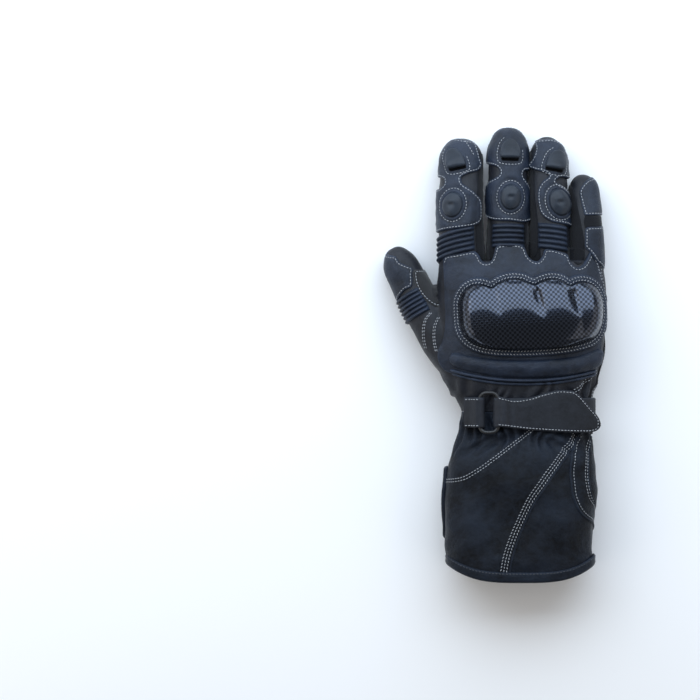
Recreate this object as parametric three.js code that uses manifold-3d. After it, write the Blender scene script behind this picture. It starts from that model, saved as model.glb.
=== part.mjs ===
// A leather motorcycle racing glove for the right hand, lying on its palm with the back of the hand up.
// Units are millimetres. +Y runs from the cuff to the fingertips, +X to the little finger and +Z up.
// The origin is on the surface that the glove lies on, under the middle of the cuff's closing flap.
//
// The glove is a hollow leather shell: a cuff, a hand and five digit sleeves, each one open into the next.
// Fabric gussets fill slots in the sides of the fingers. Panels, pads and armour lie on the shell.

import * as THREE from "three";
import { mergeVertices } from "three/addons/utils/BufferGeometryUtils.js";
import Module from "manifold-3d";

const wasm = await Module();
wasm.setup();

// Lengths of the main parts
const CUFF_LENGTH = 111; // from the hem to the narrowest line of the wrist
const PALM_LENGTH = 100; // from the wrist to the roots of the fingers

// Widths and thicknesses of the stuffed shell
const CUFF_WIDTH = 100;
const CUFF_THICKNESS = 42;
const WRIST_WIDTH = 86;
const WRIST_THICKNESS = 29;
const HAND_THICKNESS = 38;
const WRIST_SHIFT = 3.6; // how far the wrist's middle lies towards the little finger
const HEM_BOW = 11; // how far the hem reaches down in the middle beyond its sides
const PALM_ARCH = 4; // how far the palm lifts off at the roots of the fingers

// The four fingers, from the forefinger on. lean is the sideways slope at the root and bend what the tip adds.
const FINGERS = [
  { name: "index", length: 81, width: 31, depth: 25, lean: 0.02, bend: 0.04 },
  { name: "middle", length: 88.5, width: 27.8, depth: 25, lean: 0.01, bend: 0.002 },
  { name: "ring", length: 82.5, width: 26, depth: 24, lean: -0.01, bend: -0.015 },
  { name: "little", length: 57.5, width: 21, depth: 21, lean: -0.025, bend: -0.035 },
];
const FINGER_SPACE = 1.3; // clear space between two fingers at their roots
const KNUCKLE_EASE = 1.3; // what the hand is wider than the row of fingers, on each side
const ROW_SHIFT = 0.8; // how far the row of fingers lies towards the little finger

// The thumb
const THUMB_LENGTH = 86; // from its root inside the hand to its tip
const THUMB_WIDTH = 25;
const THUMB_DEPTH = 24;
const THUMB_SPLAY = 26; // degrees from the fingers' direction
const THUMB_BEND = -0.02;
const THUMB_ROOT_LEFT = 46.5; // from the glove's middle line
const THUMB_ROOT_UP = 31; // from the wrist line

// Leather, gaps and layers
const WALL = 1.6; // of the shell
const GAP = 0.35; // between two pieces that are sewn together
const PANEL = 1.1; // one layer of leather
const THICK_PANEL = 1.5; // suede with a lining
const FLAP_THICKNESS = 2.65; // two layers with hook-and-loop between them
const REST_HEIGHT = GAP + FLAP_THICKNESS; // the flap lies on the surface, and the shell on the flap
const TIP_CLEARANCE = 0.3; // under the fingertips
const PRESSED = 1.6; // how far its own weight presses the shell flat where it lies

// The knuckle guard, a hard moulded shell
const GUARD_WALL = 2.2;
const GUARD_CROWN = 8.5; // above its rim
const GUARD_CLEARANCE = 0.8; // around it, in its frame
const KNUCKLE_RISE = 2.4; // of each knuckle's lobe over the crown
const FRAME_WIDTH = 5.2; // of the padded leather around the guard
const FRAME_HEIGHT = 2.6;

// The wrist's strap and its ring
const STRAP_THICKNESS = 1.6;
const STRAP_WIDTH = 20; // where it passes the ring
const RING_WIDTH = 14.5;
const RING_HEIGHT = 28.5;
const RING_WIRE = 2.4;
const RING_X = -20.8;

// Places along the glove
const HEM_SHARE = 0.415; // of the cuff's length, from the hem to the origin
const HEM_Y = -CUFF_LENGTH * HEM_SHARE;
const WRIST_Y = HEM_Y + CUFF_LENGTH;
const ROOT_Y = WRIST_Y + PALM_LENGTH;

// Facets
const BODY_SIDES = 20;
const DIGIT_SIDES = 12;
const BODY_HOLLOW_SIDES = 16;
const DIGIT_HOLLOW_SIDES = 8;
const BODY_SQUARENESS = 2.5; // exponent of the sections, where 2 is an ellipse
const DIGIT_SQUARENESS = 2.2;
const WIDEST_SHARE = 0.45; // of a section's height, where it is widest
const TIP_STEPS = [0.5, 0.82, 0.97]; // of a digit's rounded end
const FAR = 400; // longer than the glove

// The fingers lie side by side, and the hand is as wide as they are together
const rowWidth = FINGERS.reduce((sum, f) => sum + f.width, 0) + FINGER_SPACE * (FINGERS.length - 1);
const HAND_WIDTH = rowWidth + 2 * KNUCKLE_EASE;
const HALF_HAND = HAND_WIDTH / 2;

const mix = (a, b, share) => a + (b - a) * share;

// The value of each column of a table at a place along it, straight between two rows
function rowAt(rows, key, place) {
  const last = rows.length - 1;
  const next = Math.min(last, Math.max(1, rows.findIndex((row) => row[key] >= place)));
  const [a, b] = place > rows[last][key] ? [rows[last], rows[last]] : [rows[next - 1], rows[next]];
  const share = a === b ? 0 : Math.max(0, (place - a[key]) / (b[key] - a[key]));
  return Object.fromEntries(Object.keys(a).map((name) => [name, mix(a[name], b[name], share)]));
}

// Solids. A loft joins rings of as many points each, and its two ends are flat.
function solidFrom(points, triangles) {
  const geometry = new THREE.BufferGeometry().setFromPoints(points).setIndex(triangles);
  const merged = mergeVertices(geometry, 1e-4);
  const made = new wasm.Manifold(
    new wasm.Mesh({
      numProp: 3,
      vertProperties: merged.attributes.position.array,
      triVerts: new Uint32Array(merged.index.array),
    })
  );
  if (made.volume() > 0) return made;
  for (let i = 0; i < triangles.length; i += 3) {
    [triangles[i + 1], triangles[i + 2]] = [triangles[i + 2], triangles[i + 1]];
  }
  return solidFrom(points, triangles);
}

function loft(rings) {
  const sides = rings[0].length;
  const points = rings.flat();
  const triangles = [];
  for (let row = 0; row + 1 < rings.length; row++) {
    for (let k = 0; k < sides; k++) {
      const a = row * sides + k;
      const b = row * sides + ((k + 1) % sides);
      triangles.push(a, b, b + sides, a, b + sides, a + sides);
    }
  }
  for (const [row, turned] of [[0, true], [rings.length - 1, false]]) {
    const centre = points.length;
    const sum = rings[row].reduce((total, p) => total.add(p), new THREE.Vector3());
    points.push(sum.divideScalar(sides));
    for (let k = 0; k < sides; k++) {
      const a = row * sides + k;
      const b = row * sides + ((k + 1) % sides);
      triangles.push(centre, ...(turned ? [b, a] : [a, b]));
    }
  }
  return solidFrom(points, triangles);
}

// A closed sheet between two grids of points of the same size, outer over inner
function sheet(outer, inner) {
  const rows = outer.length;
  const columns = outer[0].length;
  const points = [...outer.flat(), ...inner.flat()];
  const below = rows * columns;
  const triangles = [];
  const quad = (a, b, c, d) => triangles.push(a, b, c, a, c, d);
  for (let i = 0; i + 1 < rows; i++) {
    for (let j = 0; j + 1 < columns; j++) {
      const a = i * columns + j;
      quad(a, a + 1, a + columns + 1, a + columns);
      quad(below + a, below + a + columns, below + a + columns + 1, below + a + 1);
    }
  }
  const edge = [];
  for (let j = 0; j + 1 < columns; j++) edge.push(j);
  for (let i = 0; i + 1 < rows; i++) edge.push(i * columns + columns - 1);
  for (let j = columns - 1; j > 0; j--) edge.push((rows - 1) * columns + j);
  for (let i = rows - 1; i > 0; i--) edge.push(i * columns);
  edge.forEach((a, k) => {
    const b = edge[(k + 1) % edge.length];
    quad(a, below + a, below + b, b);
  });
  return solidFrom(points, triangles);
}

function solidOf(geometry) {
  const bare = geometry.clone().deleteAttribute("normal").deleteAttribute("uv");
  const merged = mergeVertices(bare, 1e-4);
  return new wasm.Manifold(
    new wasm.Mesh({
      numProp: 3,
      vertProperties: merged.attributes.position.array,
      triVerts: new Uint32Array(merged.index.array),
    })
  );
}

// A prism over an outline in the plane, between two heights
function prism(outline, low, high) {
  const shape = new THREE.Shape(outline.map(([x, y]) => new THREE.Vector2(x, y)));
  const geometry = new THREE.ExtrudeGeometry(shape, { depth: high - low, bevelEnabled: false });
  return solidOf(geometry.translate(0, 0, low));
}

// Everything on one side of a plane: ahead of the point, in that direction
function beyond(point, direction) {
  const turn = new THREE.Quaternion().setFromUnitVectors(new THREE.Vector3(0, 1, 0), direction);
  const box = new THREE.BoxGeometry(2 * FAR, FAR, 2 * FAR).translate(0, FAR / 2, 0);
  return solidOf(box.applyQuaternion(turn).translate(point.x, point.y, point.z));
}

// Outlines. A smooth one runs through its points, and an offset one lies further out by a distance.
function smooth(points, steps) {
  const curve = new THREE.CatmullRomCurve3(
    points.map(([x, y]) => new THREE.Vector3(x, y, 0)),
    true,
    "centripetal"
  );
  return curve.getPoints(steps).slice(0, -1).map((p) => [p.x, p.y]);
}

function grown(outline, distance) {
  const count = outline.length;
  const doubleArea = outline.reduce((sum, [x, y], i) => {
    const [nextX, nextY] = outline[(i + 1) % count];
    return sum + x * nextY - nextX * y;
  }, 0);
  const side = Math.sign(doubleArea);
  return outline.map(([x, y], i) => {
    const [px, py] = outline[(i + count - 1) % count];
    const [nx, ny] = outline[(i + 1) % count];
    const along = new THREE.Vector2(nx - px, ny - py).normalize();
    return [x + side * along.y * distance, y - side * along.x * distance];
  });
}

// The body, from the hem to the roots of the fingers. flare runs from the wrist's width to the cuff's, spread from the
// wrist's to the hand's, and deep the same way for the thickness. lift is a share of the palm's arch, shift of the
// wrist's shift and bow of the hem's bow.
const CUFF_ROWS = [
  { along: 0.0, flare: 0.9, deep: 1.0, lift: 0, shift: 0, bow: 1.0 },
  { along: 0.12, flare: 1.0, deep: 1.0, lift: 0, shift: 0, bow: 0.85 },
  { along: 0.5, flare: 1.0, deep: 0.92, lift: 0, shift: 0, bow: 0.1 },
  { along: 0.67, flare: 0.9, deep: 0.76, lift: 0, shift: 0, bow: 0 },
  { along: 0.79, flare: 0.5, deep: 0.45, lift: 0.1, shift: 0.4, bow: 0 },
  { along: 0.89, flare: 0.1, deep: 0.12, lift: 0.3, shift: 0.9, bow: 0 },
  { along: 1.0, flare: 0.0, deep: 0.0, lift: 0.35, shift: 1, bow: 0 },
];
const HAND_ROWS = [
  { along: 0.0, spread: 0.0, deep: 0.0, lift: 0.35, shift: 1 },
  { along: 0.1, spread: 0.25, deep: 0.25, lift: 0.15, shift: 0.55 },
  { along: 0.22, spread: 0.64, deep: 0.54, lift: 0, shift: 0.1 },
  { along: 0.4, spread: 0.94, deep: 0.87, lift: 0, shift: -0.05 },
  { along: 0.63, spread: 1.0, deep: 1.0, lift: 0, shift: 0.3 },
  { along: 0.85, spread: 0.93, deep: 0.88, lift: 0.1, shift: 0.22 },
  { along: 1.0, spread: 0.82, deep: 0.2, lift: 0.7, shift: 0.15 },
];

function bodySection(y, grow) {
  const onCuff = y < WRIST_Y;
  const along = onCuff ? (y - HEM_Y) / CUFF_LENGTH : (y - WRIST_Y) / PALM_LENGTH;
  const row = rowAt(onCuff ? CUFF_ROWS : HAND_ROWS, "along", along);
  const width = onCuff ? mix(WRIST_WIDTH, CUFF_WIDTH, row.flare) : mix(WRIST_WIDTH, HAND_WIDTH, row.spread);
  const height = mix(WRIST_THICKNESS, onCuff ? CUFF_THICKNESS : HAND_THICKNESS, row.deep) + PRESSED;
  const bottom = REST_HEIGHT - PRESSED + row.lift * PALM_ARCH;
  return {
    centre: new THREE.Vector3(row.shift * WRIST_SHIFT, y, bottom + WIDEST_SHARE * height),
    heading: 0,
    half: width / 2 + grow,
    rise: (1 - WIDEST_SHARE) * height + grow,
    sink: WIDEST_SHARE * height + grow,
    squareness: BODY_SQUARENESS,
    bow: (row.bow ?? 0) * HEM_BOW,
  };
}

// The digits. wide and deep are shares of the digit's own width and depth, and droop runs from its root's height to its
// tip's.
const FINGER_ROWS = [
  { along: -0.1, wide: 0.94, deep: 0.98, droop: 0 },
  { along: 0.0, wide: 1.0, deep: 1.0, droop: 0 },
  { along: 0.24, wide: 0.97, deep: 1.0, droop: 0.06 },
  { along: 0.5, wide: 0.98, deep: 1.0, droop: 0.27 },
  { along: 0.72, wide: 0.95, deep: 0.92, droop: 0.62 },
  { along: 1.0, wide: 0.9, deep: 0.8, droop: 1 },
];
const THUMB_ROWS = [
  { along: 0.0, wide: 0.62, deep: 0.9, droop: 0 },
  { along: 0.16, wide: 0.9, deep: 1.0, droop: 0.12 },
  { along: 0.34, wide: 1.02, deep: 1.04, droop: 0.3 },
  { along: 0.54, wide: 1.0, deep: 1.0, droop: 0.55 },
  { along: 0.74, wide: 0.94, deep: 0.9, droop: 0.85 },
  { along: 1.0, wide: 0.9, deep: 0.84, droop: 1 },
];
const FINGER_TIP_START = 0.74; // share of the length where the tip begins to round
const THUMB_TIP_START = 0.76;

const rootSection = bodySection(ROOT_Y, 0);
const rootHeight = rootSection.centre.z - rootSection.sink + (rootSection.sink + rootSection.rise) / 2;

let rowLeft = -rowWidth / 2 + ROW_SHIFT;
const digits = {};
for (const f of FINGERS) {
  digits[f.name] = {
    ...f,
    root: new THREE.Vector2(rowLeft + f.width / 2, ROOT_Y),
    heading: Math.atan(f.lean),
    rootHeight,
    rows: FINGER_ROWS,
    tipStart: FINGER_TIP_START,
  };
  rowLeft += f.width + FINGER_SPACE;
}
digits.thumb = {
  name: "thumb",
  length: THUMB_LENGTH,
  width: THUMB_WIDTH,
  depth: THUMB_DEPTH,
  bend: THUMB_BEND,
  root: new THREE.Vector2(-THUMB_ROOT_LEFT, WRIST_Y + THUMB_ROOT_UP),
  heading: -THREE.MathUtils.degToRad(THUMB_SPLAY),
  rootHeight,
  rows: THUMB_ROWS,
  tipStart: THUMB_TIP_START,
};

const ahead = (heading) => new THREE.Vector2(Math.sin(heading), Math.cos(heading));
const aside = (heading) => new THREE.Vector2(Math.cos(heading), -Math.sin(heading));

function digitSection(digit, along, grow) {
  const row = rowAt(digit.rows, "along", along);
  const tip = Math.max(0, (along - digit.tipStart) / (1 - digit.tipStart));
  const round = Math.sqrt(Math.max(0, 1 - tip * tip));
  const lowest = digit.rows[digit.rows.length - 1];
  const tipHeight = TIP_CLEARANCE + (lowest.deep * digit.depth) / 2;
  const half = Math.max(0.3, (row.wide * digit.width * round) / 2 + grow);
  const thick = Math.max(0.3, (row.deep * digit.depth * round) / 2 + grow);
  const path = digit.root
    .clone()
    .addScaledVector(ahead(digit.heading), digit.length * along + tip * grow)
    .addScaledVector(aside(digit.heading), digit.length * digit.bend * along * Math.abs(along));
  return {
    centre: new THREE.Vector3(path.x, path.y, mix(digit.rootHeight, tipHeight, row.droop)),
    heading: digit.heading + Math.atan(2 * digit.bend * Math.abs(along)),
    half,
    rise: thick,
    sink: thick,
    squareness: DIGIT_SQUARENESS,
    bow: 0,
  };
}

// A point of a section's outline: across is a share of its half width, and side is 1 on the back and -1 on the palm
function onSection(section, across, side) {
  const reach = Math.min(1, Math.abs(across));
  const height = (1 - reach ** section.squareness) ** (1 / section.squareness);
  const sideways = aside(section.heading);
  return new THREE.Vector3(
    section.centre.x + sideways.x * section.half * across,
    section.centre.y + sideways.y * section.half * across + section.bow * reach * reach,
    section.centre.z + side * height * (side > 0 ? section.rise : section.sink)
  );
}

function ring(section, floor, sides) {
  const points = [];
  for (let k = 0; k < sides; k++) {
    const angle = (2 * Math.PI * k) / sides;
    const across = Math.sign(Math.cos(angle)) * Math.abs(Math.cos(angle)) ** (2 / section.squareness);
    const point = onSection(section, across, Math.sin(angle) < 0 ? -1 : 1);
    point.z = Math.max(point.z, floor);
    points.push(point);
  }
  return points;
}

// The body and the digits as solids, grown outwards by a distance. What lies on the surface is flattened there.
const bodyStations = [
  ...CUFF_ROWS.slice(0, -1).map((row) => HEM_Y + row.along * CUFF_LENGTH),
  ...HAND_ROWS.map((row) => WRIST_Y + row.along * PALM_LENGTH),
];

function bodySolid(grow, sides = BODY_SIDES, hemReach = 0, rootReach = 0) {
  const rings = bodyStations.map((y) => ring(bodySection(y, grow), REST_HEIGHT - grow, sides));
  const shiftY = (points, distance) => points.map((p) => new THREE.Vector3(p.x, p.y + distance, p.z));
  if (hemReach) rings.unshift(shiftY(rings[0], -hemReach));
  if (rootReach) rings[rings.length - 1] = shiftY(rings[rings.length - 1], rootReach);
  return loft(rings);
}

function digitSolid(digit, grow, sides = DIGIT_SIDES) {
  const before = digit.rows.map((row) => row.along).filter((along) => along < digit.tipStart);
  const tips = TIP_STEPS.map((step) => mix(digit.tipStart, 1, step));
  const stations = [...before, digit.tipStart, ...tips];
  return loft(stations.map((along) => ring(digitSection(digit, along, grow), 0, sides)));
}

// The hollow that the hand goes into
const HEM_REACH = 8; // the hollow runs out past the hem
const hollow = Object.values(digits).reduce(
  (sum, digit) => sum.add(digitSolid(digit, -WALL, DIGIT_HOLLOW_SIDES)),
  bodySolid(-WALL, BODY_HOLLOW_SIDES, HEM_REACH, -WALL)
);

const nodes = [];
const add = (name, solid, material) => nodes.push({ name, solid, material });

// Materials, as a scene would light them
const finish = (color, roughness, metalness = 0) =>
  new THREE.MeshStandardMaterial({ color, roughness, metalness });
const leather = finish(0x23262e, 0.5);
const panelLeather = finish(0x2b2f3a, 0.48);
const suede = finish(0x15161a, 0.9);
const stretchFabric = finish(0x0b0c10, 0.95);
const rubber = finish(0x2f3238, 0.6);
const carbon = finish(0x11131a, 0.18);
const blackPlastic = finish(0x0c0d0f, 0.4);

// The shell: cuff, hand and thumb root
const up = new THREE.Vector3(0, 1, 0);
const down = new THREE.Vector3(0, -1, 0);
const wristSeam = (distance) => new THREE.Vector3(0, WRIST_Y + distance, 0);
const THUMB_SEAM = 0.4; // share of the thumb's length where its sleeve is sewn on

const thumbHeading = ahead(digits.thumb.heading);
const thumbAhead = new THREE.Vector3(thumbHeading.x, thumbHeading.y, 0);
const thumbSeamAt = (distance) =>
  digitSection(digits.thumb, THUMB_SEAM, 0).centre.clone().addScaledVector(thumbAhead, distance);
const thumb = digitSolid(digits.thumb, 0);
const thumbRoot = thumb.subtract(beyond(thumbSeamAt(-GAP / 2), thumbAhead));
const body = bodySolid(0);

add("cuff_shell", body.intersect(beyond(wristSeam(-GAP / 2), down)).subtract(hollow), leather);
add("hand_shell", body.intersect(beyond(wristSeam(GAP / 2), up)).add(thumbRoot).subtract(hollow), leather);

// The sleeves of the digits, and the fabric gussets in the sides where two fingers face each other
const GUSSET = { from: -0.02, to: 0.84, across: 0.4, high: 0.3 };

function gussetBar(digit, side, spare) {
  const stations = [GUSSET.from, 0.5, GUSSET.to];
  const rings = stations.map((along, i) => {
    const section = digitSection(digit, along, 0);
    const sideways = aside(section.heading).multiplyScalar(side);
    const forward = ahead(section.heading);
    const last = i === stations.length - 1;
    const high = GUSSET.high * section.rise * (last ? 0.5 : 1) - spare;
    const reach = last ? -spare : 0;
    const inner = section.half * GUSSET.across + spare;
    const outer = section.half + FINGER_SPACE;
    return [[inner, high], [inner, -high], [outer, -high], [outer, high]].map(
      ([out, z]) =>
        new THREE.Vector3(
          section.centre.x + sideways.x * out + forward.x * reach,
          section.centre.y + sideways.y * out + forward.y * reach,
          section.centre.z + z
        )
    );
  });
  return loft(rings);
}

const facing = { index: [1], middle: [-1, 1], ring: [-1, 1], little: [-1] };
const towards = { 1: "outer", "-1": "inner" };
const pastRoots = beyond(new THREE.Vector3(0, ROOT_Y + GAP, 0), up);

for (const f of FINGERS) {
  const digit = digits[f.name];
  const whole = digitSolid(digit, 0).subtract(digitSolid(digit, -WALL, DIGIT_HOLLOW_SIDES)).intersect(pastRoots);
  const slots = facing[f.name].map((side) => gussetBar(digit, side, 0));
  add(`${f.name}_sleeve`, slots.reduce((solid, slot) => solid.subtract(slot), whole), leather);
  for (const side of facing[f.name]) {
    const strip = whole.intersect(gussetBar(digit, side, GAP));
    add(`${f.name}_gusset_${towards[side]}`, strip, stretchFabric);
  }
}
const thumbSleeve = thumb
  .intersect(beyond(thumbSeamAt(GAP / 2), thumbAhead))
  .subtract(bodySolid(GAP))
  .subtract(hollow);
add("thumb_sleeve", thumbSleeve, leather);

// The hem's binding, a band around the cuff's end
const BINDING_WIDTH = 6;
const BINDING_EASE = 0.7; // the cuff widens a little over the binding's width
const hemBand = (grow) =>
  [0, BINDING_WIDTH].map((reach) => {
    const section = bodySection(HEM_Y, grow);
    section.centre.y += reach;
    return ring(section, REST_HEIGHT - grow, BODY_SIDES);
  });

// A closed band: rings of as many points each, the last joined to the first
function closedBand(rings) {
  const sides = rings[0].length;
  const triangles = [];
  rings.forEach((_, row) => {
    for (let k = 0; k < sides; k++) {
      const a = row * sides + k;
      const b = row * sides + ((k + 1) % sides);
      const nextRow = ((row + 1) % rings.length) * sides;
      const c = nextRow + ((k + 1) % sides);
      triangles.push(a, b, c, a, c, nextRow + k);
    }
  });
  return solidFrom(rings.flat(), triangles);
}
const [outerHem, outerTop] = hemBand(BINDING_EASE + PANEL);
const [innerHem, innerTop] = hemBand(BINDING_EASE);
add("hem_binding", closedBand([outerHem, outerTop, innerTop, innerHem]), panelLeather);

// Places on the hand in shares: across of half its width, along from the wrist to the finger roots
const handPoint = ([across, along]) => [across * HALF_HAND, WRIST_Y + along * PALM_LENGTH];
const cuffPoint = ([across, along]) => [(across * CUFF_WIDTH) / 2, HEM_Y + along * CUFF_LENGTH];
const middleHeight = rootHeight; // between the back and the palm

// A layer of leather on the body, cut to an outline, on the back or on the palm
const handSolid = (grow) => bodySolid(grow).add(digitSolid(digits.thumb, grow));

function bodyLayer(outline, side, inner, outer) {
  const skin = handSolid(outer).subtract(handSolid(inner));
  const [low, high] = side > 0 ? [middleHeight, FAR] : [-FAR, middleHeight];
  return skin.intersect(prism(outline, low, high));
}

const firstLayer = [GAP, GAP + PANEL];
const secondBase = 2 * GAP + PANEL; // where a piece on the first layer begins

const BACK_PANEL = [
  [-0.87, 0.28], [-0.88, 0.6], [-0.9, 0.98], [-0.6, 0.985], [-0.5, 0.985], [-0.46, 0.9], [-0.38, 0.9],
  [-0.31, 0.985], [-0.16, 0.99], [0.03, 0.985], [0.1, 0.93], [0.18, 0.92], [0.26, 0.985], [0.4, 0.985],
  [0.57, 0.97], [0.61, 0.93], [0.68, 0.91], [0.76, 0.96], [0.82, 0.97], [0.9, 0.87], [0.95, 0.75],
  [0.96, 0.5], [0.93, 0.3], [0.6, 0.245], [0.0, 0.215], [-0.5, 0.235],
].map(handPoint);
const backPanel = bodyLayer(BACK_PANEL, 1, ...firstLayer);
add("back_panel", backPanel, panelLeather);

// The knuckle guard's outline, with a scallop over each knuckle
const GUARD_OUTLINE = [
  [-0.72, 0.67], [-0.65, 0.8], [-0.52, 0.84], [-0.35, 0.815], [-0.23, 0.85], [-0.09, 0.87], [0.05, 0.86],
  [0.15, 0.835], [0.25, 0.86], [0.38, 0.87], [0.5, 0.855], [0.58, 0.825], [0.66, 0.85], [0.74, 0.855],
  [0.86, 0.82], [0.93, 0.7], [0.93, 0.56], [0.85, 0.48], [0.5, 0.43], [-0.06, 0.415], [-0.45, 0.44],
  [-0.65, 0.51],
].map(handPoint);
const guardLoop = smooth(GUARD_OUTLINE, 30);
const frameSkin = bodyLayer(grown(guardLoop, FRAME_WIDTH), 1, secondBase, secondBase + FRAME_HEIGHT);
const guardHole = prism(grown(guardLoop, GUARD_CLEARANCE), middleHeight, FAR);
add("knuckle_frame", frameSkin.subtract(guardHole), panelLeather);

// Height of the body's back over a place, grown by a distance
function backHeight(x, y, grow) {
  const section = bodySection(y, grow);
  return onSection(section, (x - section.centre.x) / section.half, 1).z;
}

// Where a line of the same x crosses an outline, lowest and highest
function spanAt(outline, x) {
  const crossings = outline.flatMap(([ax, ay], i) => {
    const [bx, by] = outline[(i + 1) % outline.length];
    return ax <= x === bx <= x ? [] : [ay + ((by - ay) * (x - ax)) / (bx - ax)];
  });
  return [Math.min(...crossings), Math.max(...crossings)];
}

// Each knuckle's lobe, by its place across and half its spacing
const KNUCKLES = [
  { across: -0.53, half: 0.19 },
  { across: -0.1, half: 0.24 },
  { across: 0.37, half: 0.22 },
  { across: 0.76, half: 0.18 },
];
const GUARD_COLUMNS = 18;
const GUARD_ROWS = 5;

const guardRim = grown(guardLoop, -GAP);

function guardGrid(drop) {
  const [left, right] = [Math.min(...guardRim.map((p) => p[0])), Math.max(...guardRim.map((p) => p[0]))];
  const grid = [];
  for (let j = 0; j <= GUARD_COLUMNS; j++) {
    const over = (2 * j) / GUARD_COLUMNS - 1;
    const x = mix(left, right, (1 + over * 0.985) / 2);
    const [low, high] = spanAt(guardRim, x);
    const lobe = Math.max(0, ...KNUCKLES.map((k) => 1 - ((x / HALF_HAND - k.across) / k.half) ** 2));
    const column = [];
    for (let i = 0; i <= GUARD_ROWS; i++) {
      const share = i / GUARD_ROWS;
      const crown = Math.sin(Math.PI * share ** 0.85) ** 0.6 * (1 - Math.abs(over) ** 5);
      const knuckle = KNUCKLE_RISE * lobe * Math.sin(Math.PI * share) * share;
      const y = mix(low, high, share);
      const rim = backHeight(x, y, secondBase);
      column.push(new THREE.Vector3(x, y, rim + drop + GUARD_CROWN * crown + knuckle));
    }
    grid.push(column);
  }
  return grid;
}
const guardSolid = sheet(guardGrid(GUARD_WALL + GAP), guardGrid(GAP));
add("knuckle_guard", guardSolid, carbon);

// The padded roll under the frame, and the two piped cords that close it towards the wrist
const ROLL_SIDE = 0.8;
const rollBottom = (across) => 0.225 + 0.055 * across * across;
const rollTop = (across) => 0.36 - 0.02 * across * across;
const ROLL_HEIGHT = 3.2;
const ROLL_GAP = 0.8; // the roll bridges the facets of the panel under it
const ROLL_COLUMNS = 10;
const ROLL_STEPS = [0, 0.25, 0.6, 1];

function rollGrid(height) {
  const grid = [];
  for (let j = 0; j <= ROLL_COLUMNS; j++) {
    const across = mix(-ROLL_SIDE, ROLL_SIDE, j / ROLL_COLUMNS);
    const x = across * HALF_HAND;
    const column = ROLL_STEPS.map((share) => {
      const y = handPoint([across, mix(rollBottom(across), rollTop(across), share)])[1];
      const swell = Math.sin(Math.PI * share) * (1 - (across / ROLL_SIDE) ** 4);
      return new THREE.Vector3(x, y, backHeight(x, y, secondBase) + height * (0.3 + 0.7 * swell));
    });
    grid.push(column);
  }
  return grid;
}
add("back_roll", sheet(rollGrid(ROLL_HEIGHT), rollGrid(ROLL_GAP)), panelLeather);

const PIPING_RADIUS = 1.1;
const PIPING_SIDES = 5;
const PIPING_STEPS = 12;

function piping(drop) {
  const rings = [];
  for (let j = 0; j <= PIPING_STEPS; j++) {
    const across = mix(-0.8, 0.86, j / PIPING_STEPS);
    const x = across * HALF_HAND;
    const y = handPoint([across, rollBottom(across)])[1] - drop;
    const z = backHeight(x, y, GAP + PANEL * 0.5) + PIPING_RADIUS + GAP + 0.2;
    const points = [];
    for (let k = 0; k < PIPING_SIDES; k++) {
      const angle = (2 * Math.PI * k) / PIPING_SIDES;
      const offset = [PIPING_RADIUS * Math.cos(angle), PIPING_RADIUS * Math.sin(angle)];
      points.push(new THREE.Vector3(x, y + offset[0], z + offset[1]));
    }
    rings.push(points);
  }
  return loft(rings);
}
const pipingDrop = PIPING_RADIUS + GAP + 1;
add("wrist_piping_upper", piping(pipingDrop), panelLeather);
add("wrist_piping_lower", piping(pipingDrop + 2 * PIPING_RADIUS + GAP), panelLeather);

// Places on a digit: along its length and across its half width, on the back or the palm, grown by a distance
function onDigit(digit, along, across, grow, side = 1) {
  return onSection(digitSection(digit, along, grow), across, side);
}
const digitPoint = (digit) => ([across, along]) => {
  const p = onDigit(digit, along, across, 0);
  return [p.x, p.y];
};

// The leather panels on the backs of the fingers, narrow at the last joint, and their armour and stretch ribs
const HOURGLASS = [
  [-0.9, 0.27], [-0.98, 0.42], [-0.9, 0.55], [-0.62, 0.62], [-0.66, 0.69], [-0.98, 0.78], [-0.9, 0.9],
  [-0.3, 0.97], [0.3, 0.97], [0.72, 0.84], [0.8, 0.76], [0.55, 0.68], [0.55, 0.63], [0.78, 0.56],
  [0.84, 0.44], [0.8, 0.28], [0.4, 0.25], [-0.5, 0.25],
];
const ARMOURED = [
  { name: "index", turn: 8, padAlong: 0.46, padAcross: -0.18, ventAlong: 0.81, ventAcross: -0.3, from: 0.03 },
  { name: "middle", turn: 0, padAlong: 0.46, padAcross: 0.1, ventAlong: 0.82, ventAcross: 0.1, from: 0.06 },
  { name: "ring", turn: -8, padAlong: 0.46, padAcross: 0.14, ventAlong: 0.81, ventAcross: 0.36, from: 0.04 },
];
const PAD_HALF_WIDTH = 5.8;
const PAD_HALF_LENGTH = 8.4;
const PAD_HEIGHT = 3.4;
const VENT_HALF_WIDTH = 6.2;
const VENT_LENGTH = 11;
const VENT_HEIGHT = 3.4;
const VENT_WALL = 1;
const VENT_SINK = 0.8; // the hood is cut off where it meets the finger
const RIB_COUNT = 3;
const RIB_HEIGHT = 1.5;
const RIB_BASE = 0.9;
const RIB_GAP = 0.6; // the flat ribs bridge the sleeve's facets
const RIB_TOP = 0.235; // share of the finger's length where its ribs end

function digitLayer(digit, outline, inner, outer, low = digit.rootHeight - digit.depth, high = FAR) {
  const skin = digitSolid(digit, outer).subtract(digitSolid(digit, inner));
  return skin.intersect(prism(outline, low, high));
}

// A strip of stretch leather across a digit's back, with round ribs across it
function ribs(digit, from, to, left, right, count) {
  const rows = 2 * count;
  const columns = 3;
  const grid = (height) => {
    const made = [];
    for (let i = 0; i <= rows; i++) {
      const along = mix(from, to, i / rows);
      const grow = height === 0 ? RIB_GAP : RIB_GAP + RIB_BASE + (i % 2 ? RIB_HEIGHT : 0);
      const row = [];
      for (let j = 0; j <= columns; j++) {
        row.push(onDigit(digit, along, mix(left, right, j / columns), grow));
      }
      made.push(row);
    }
    return made;
  };
  return sheet(grid(1), grid(0));
}

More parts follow.
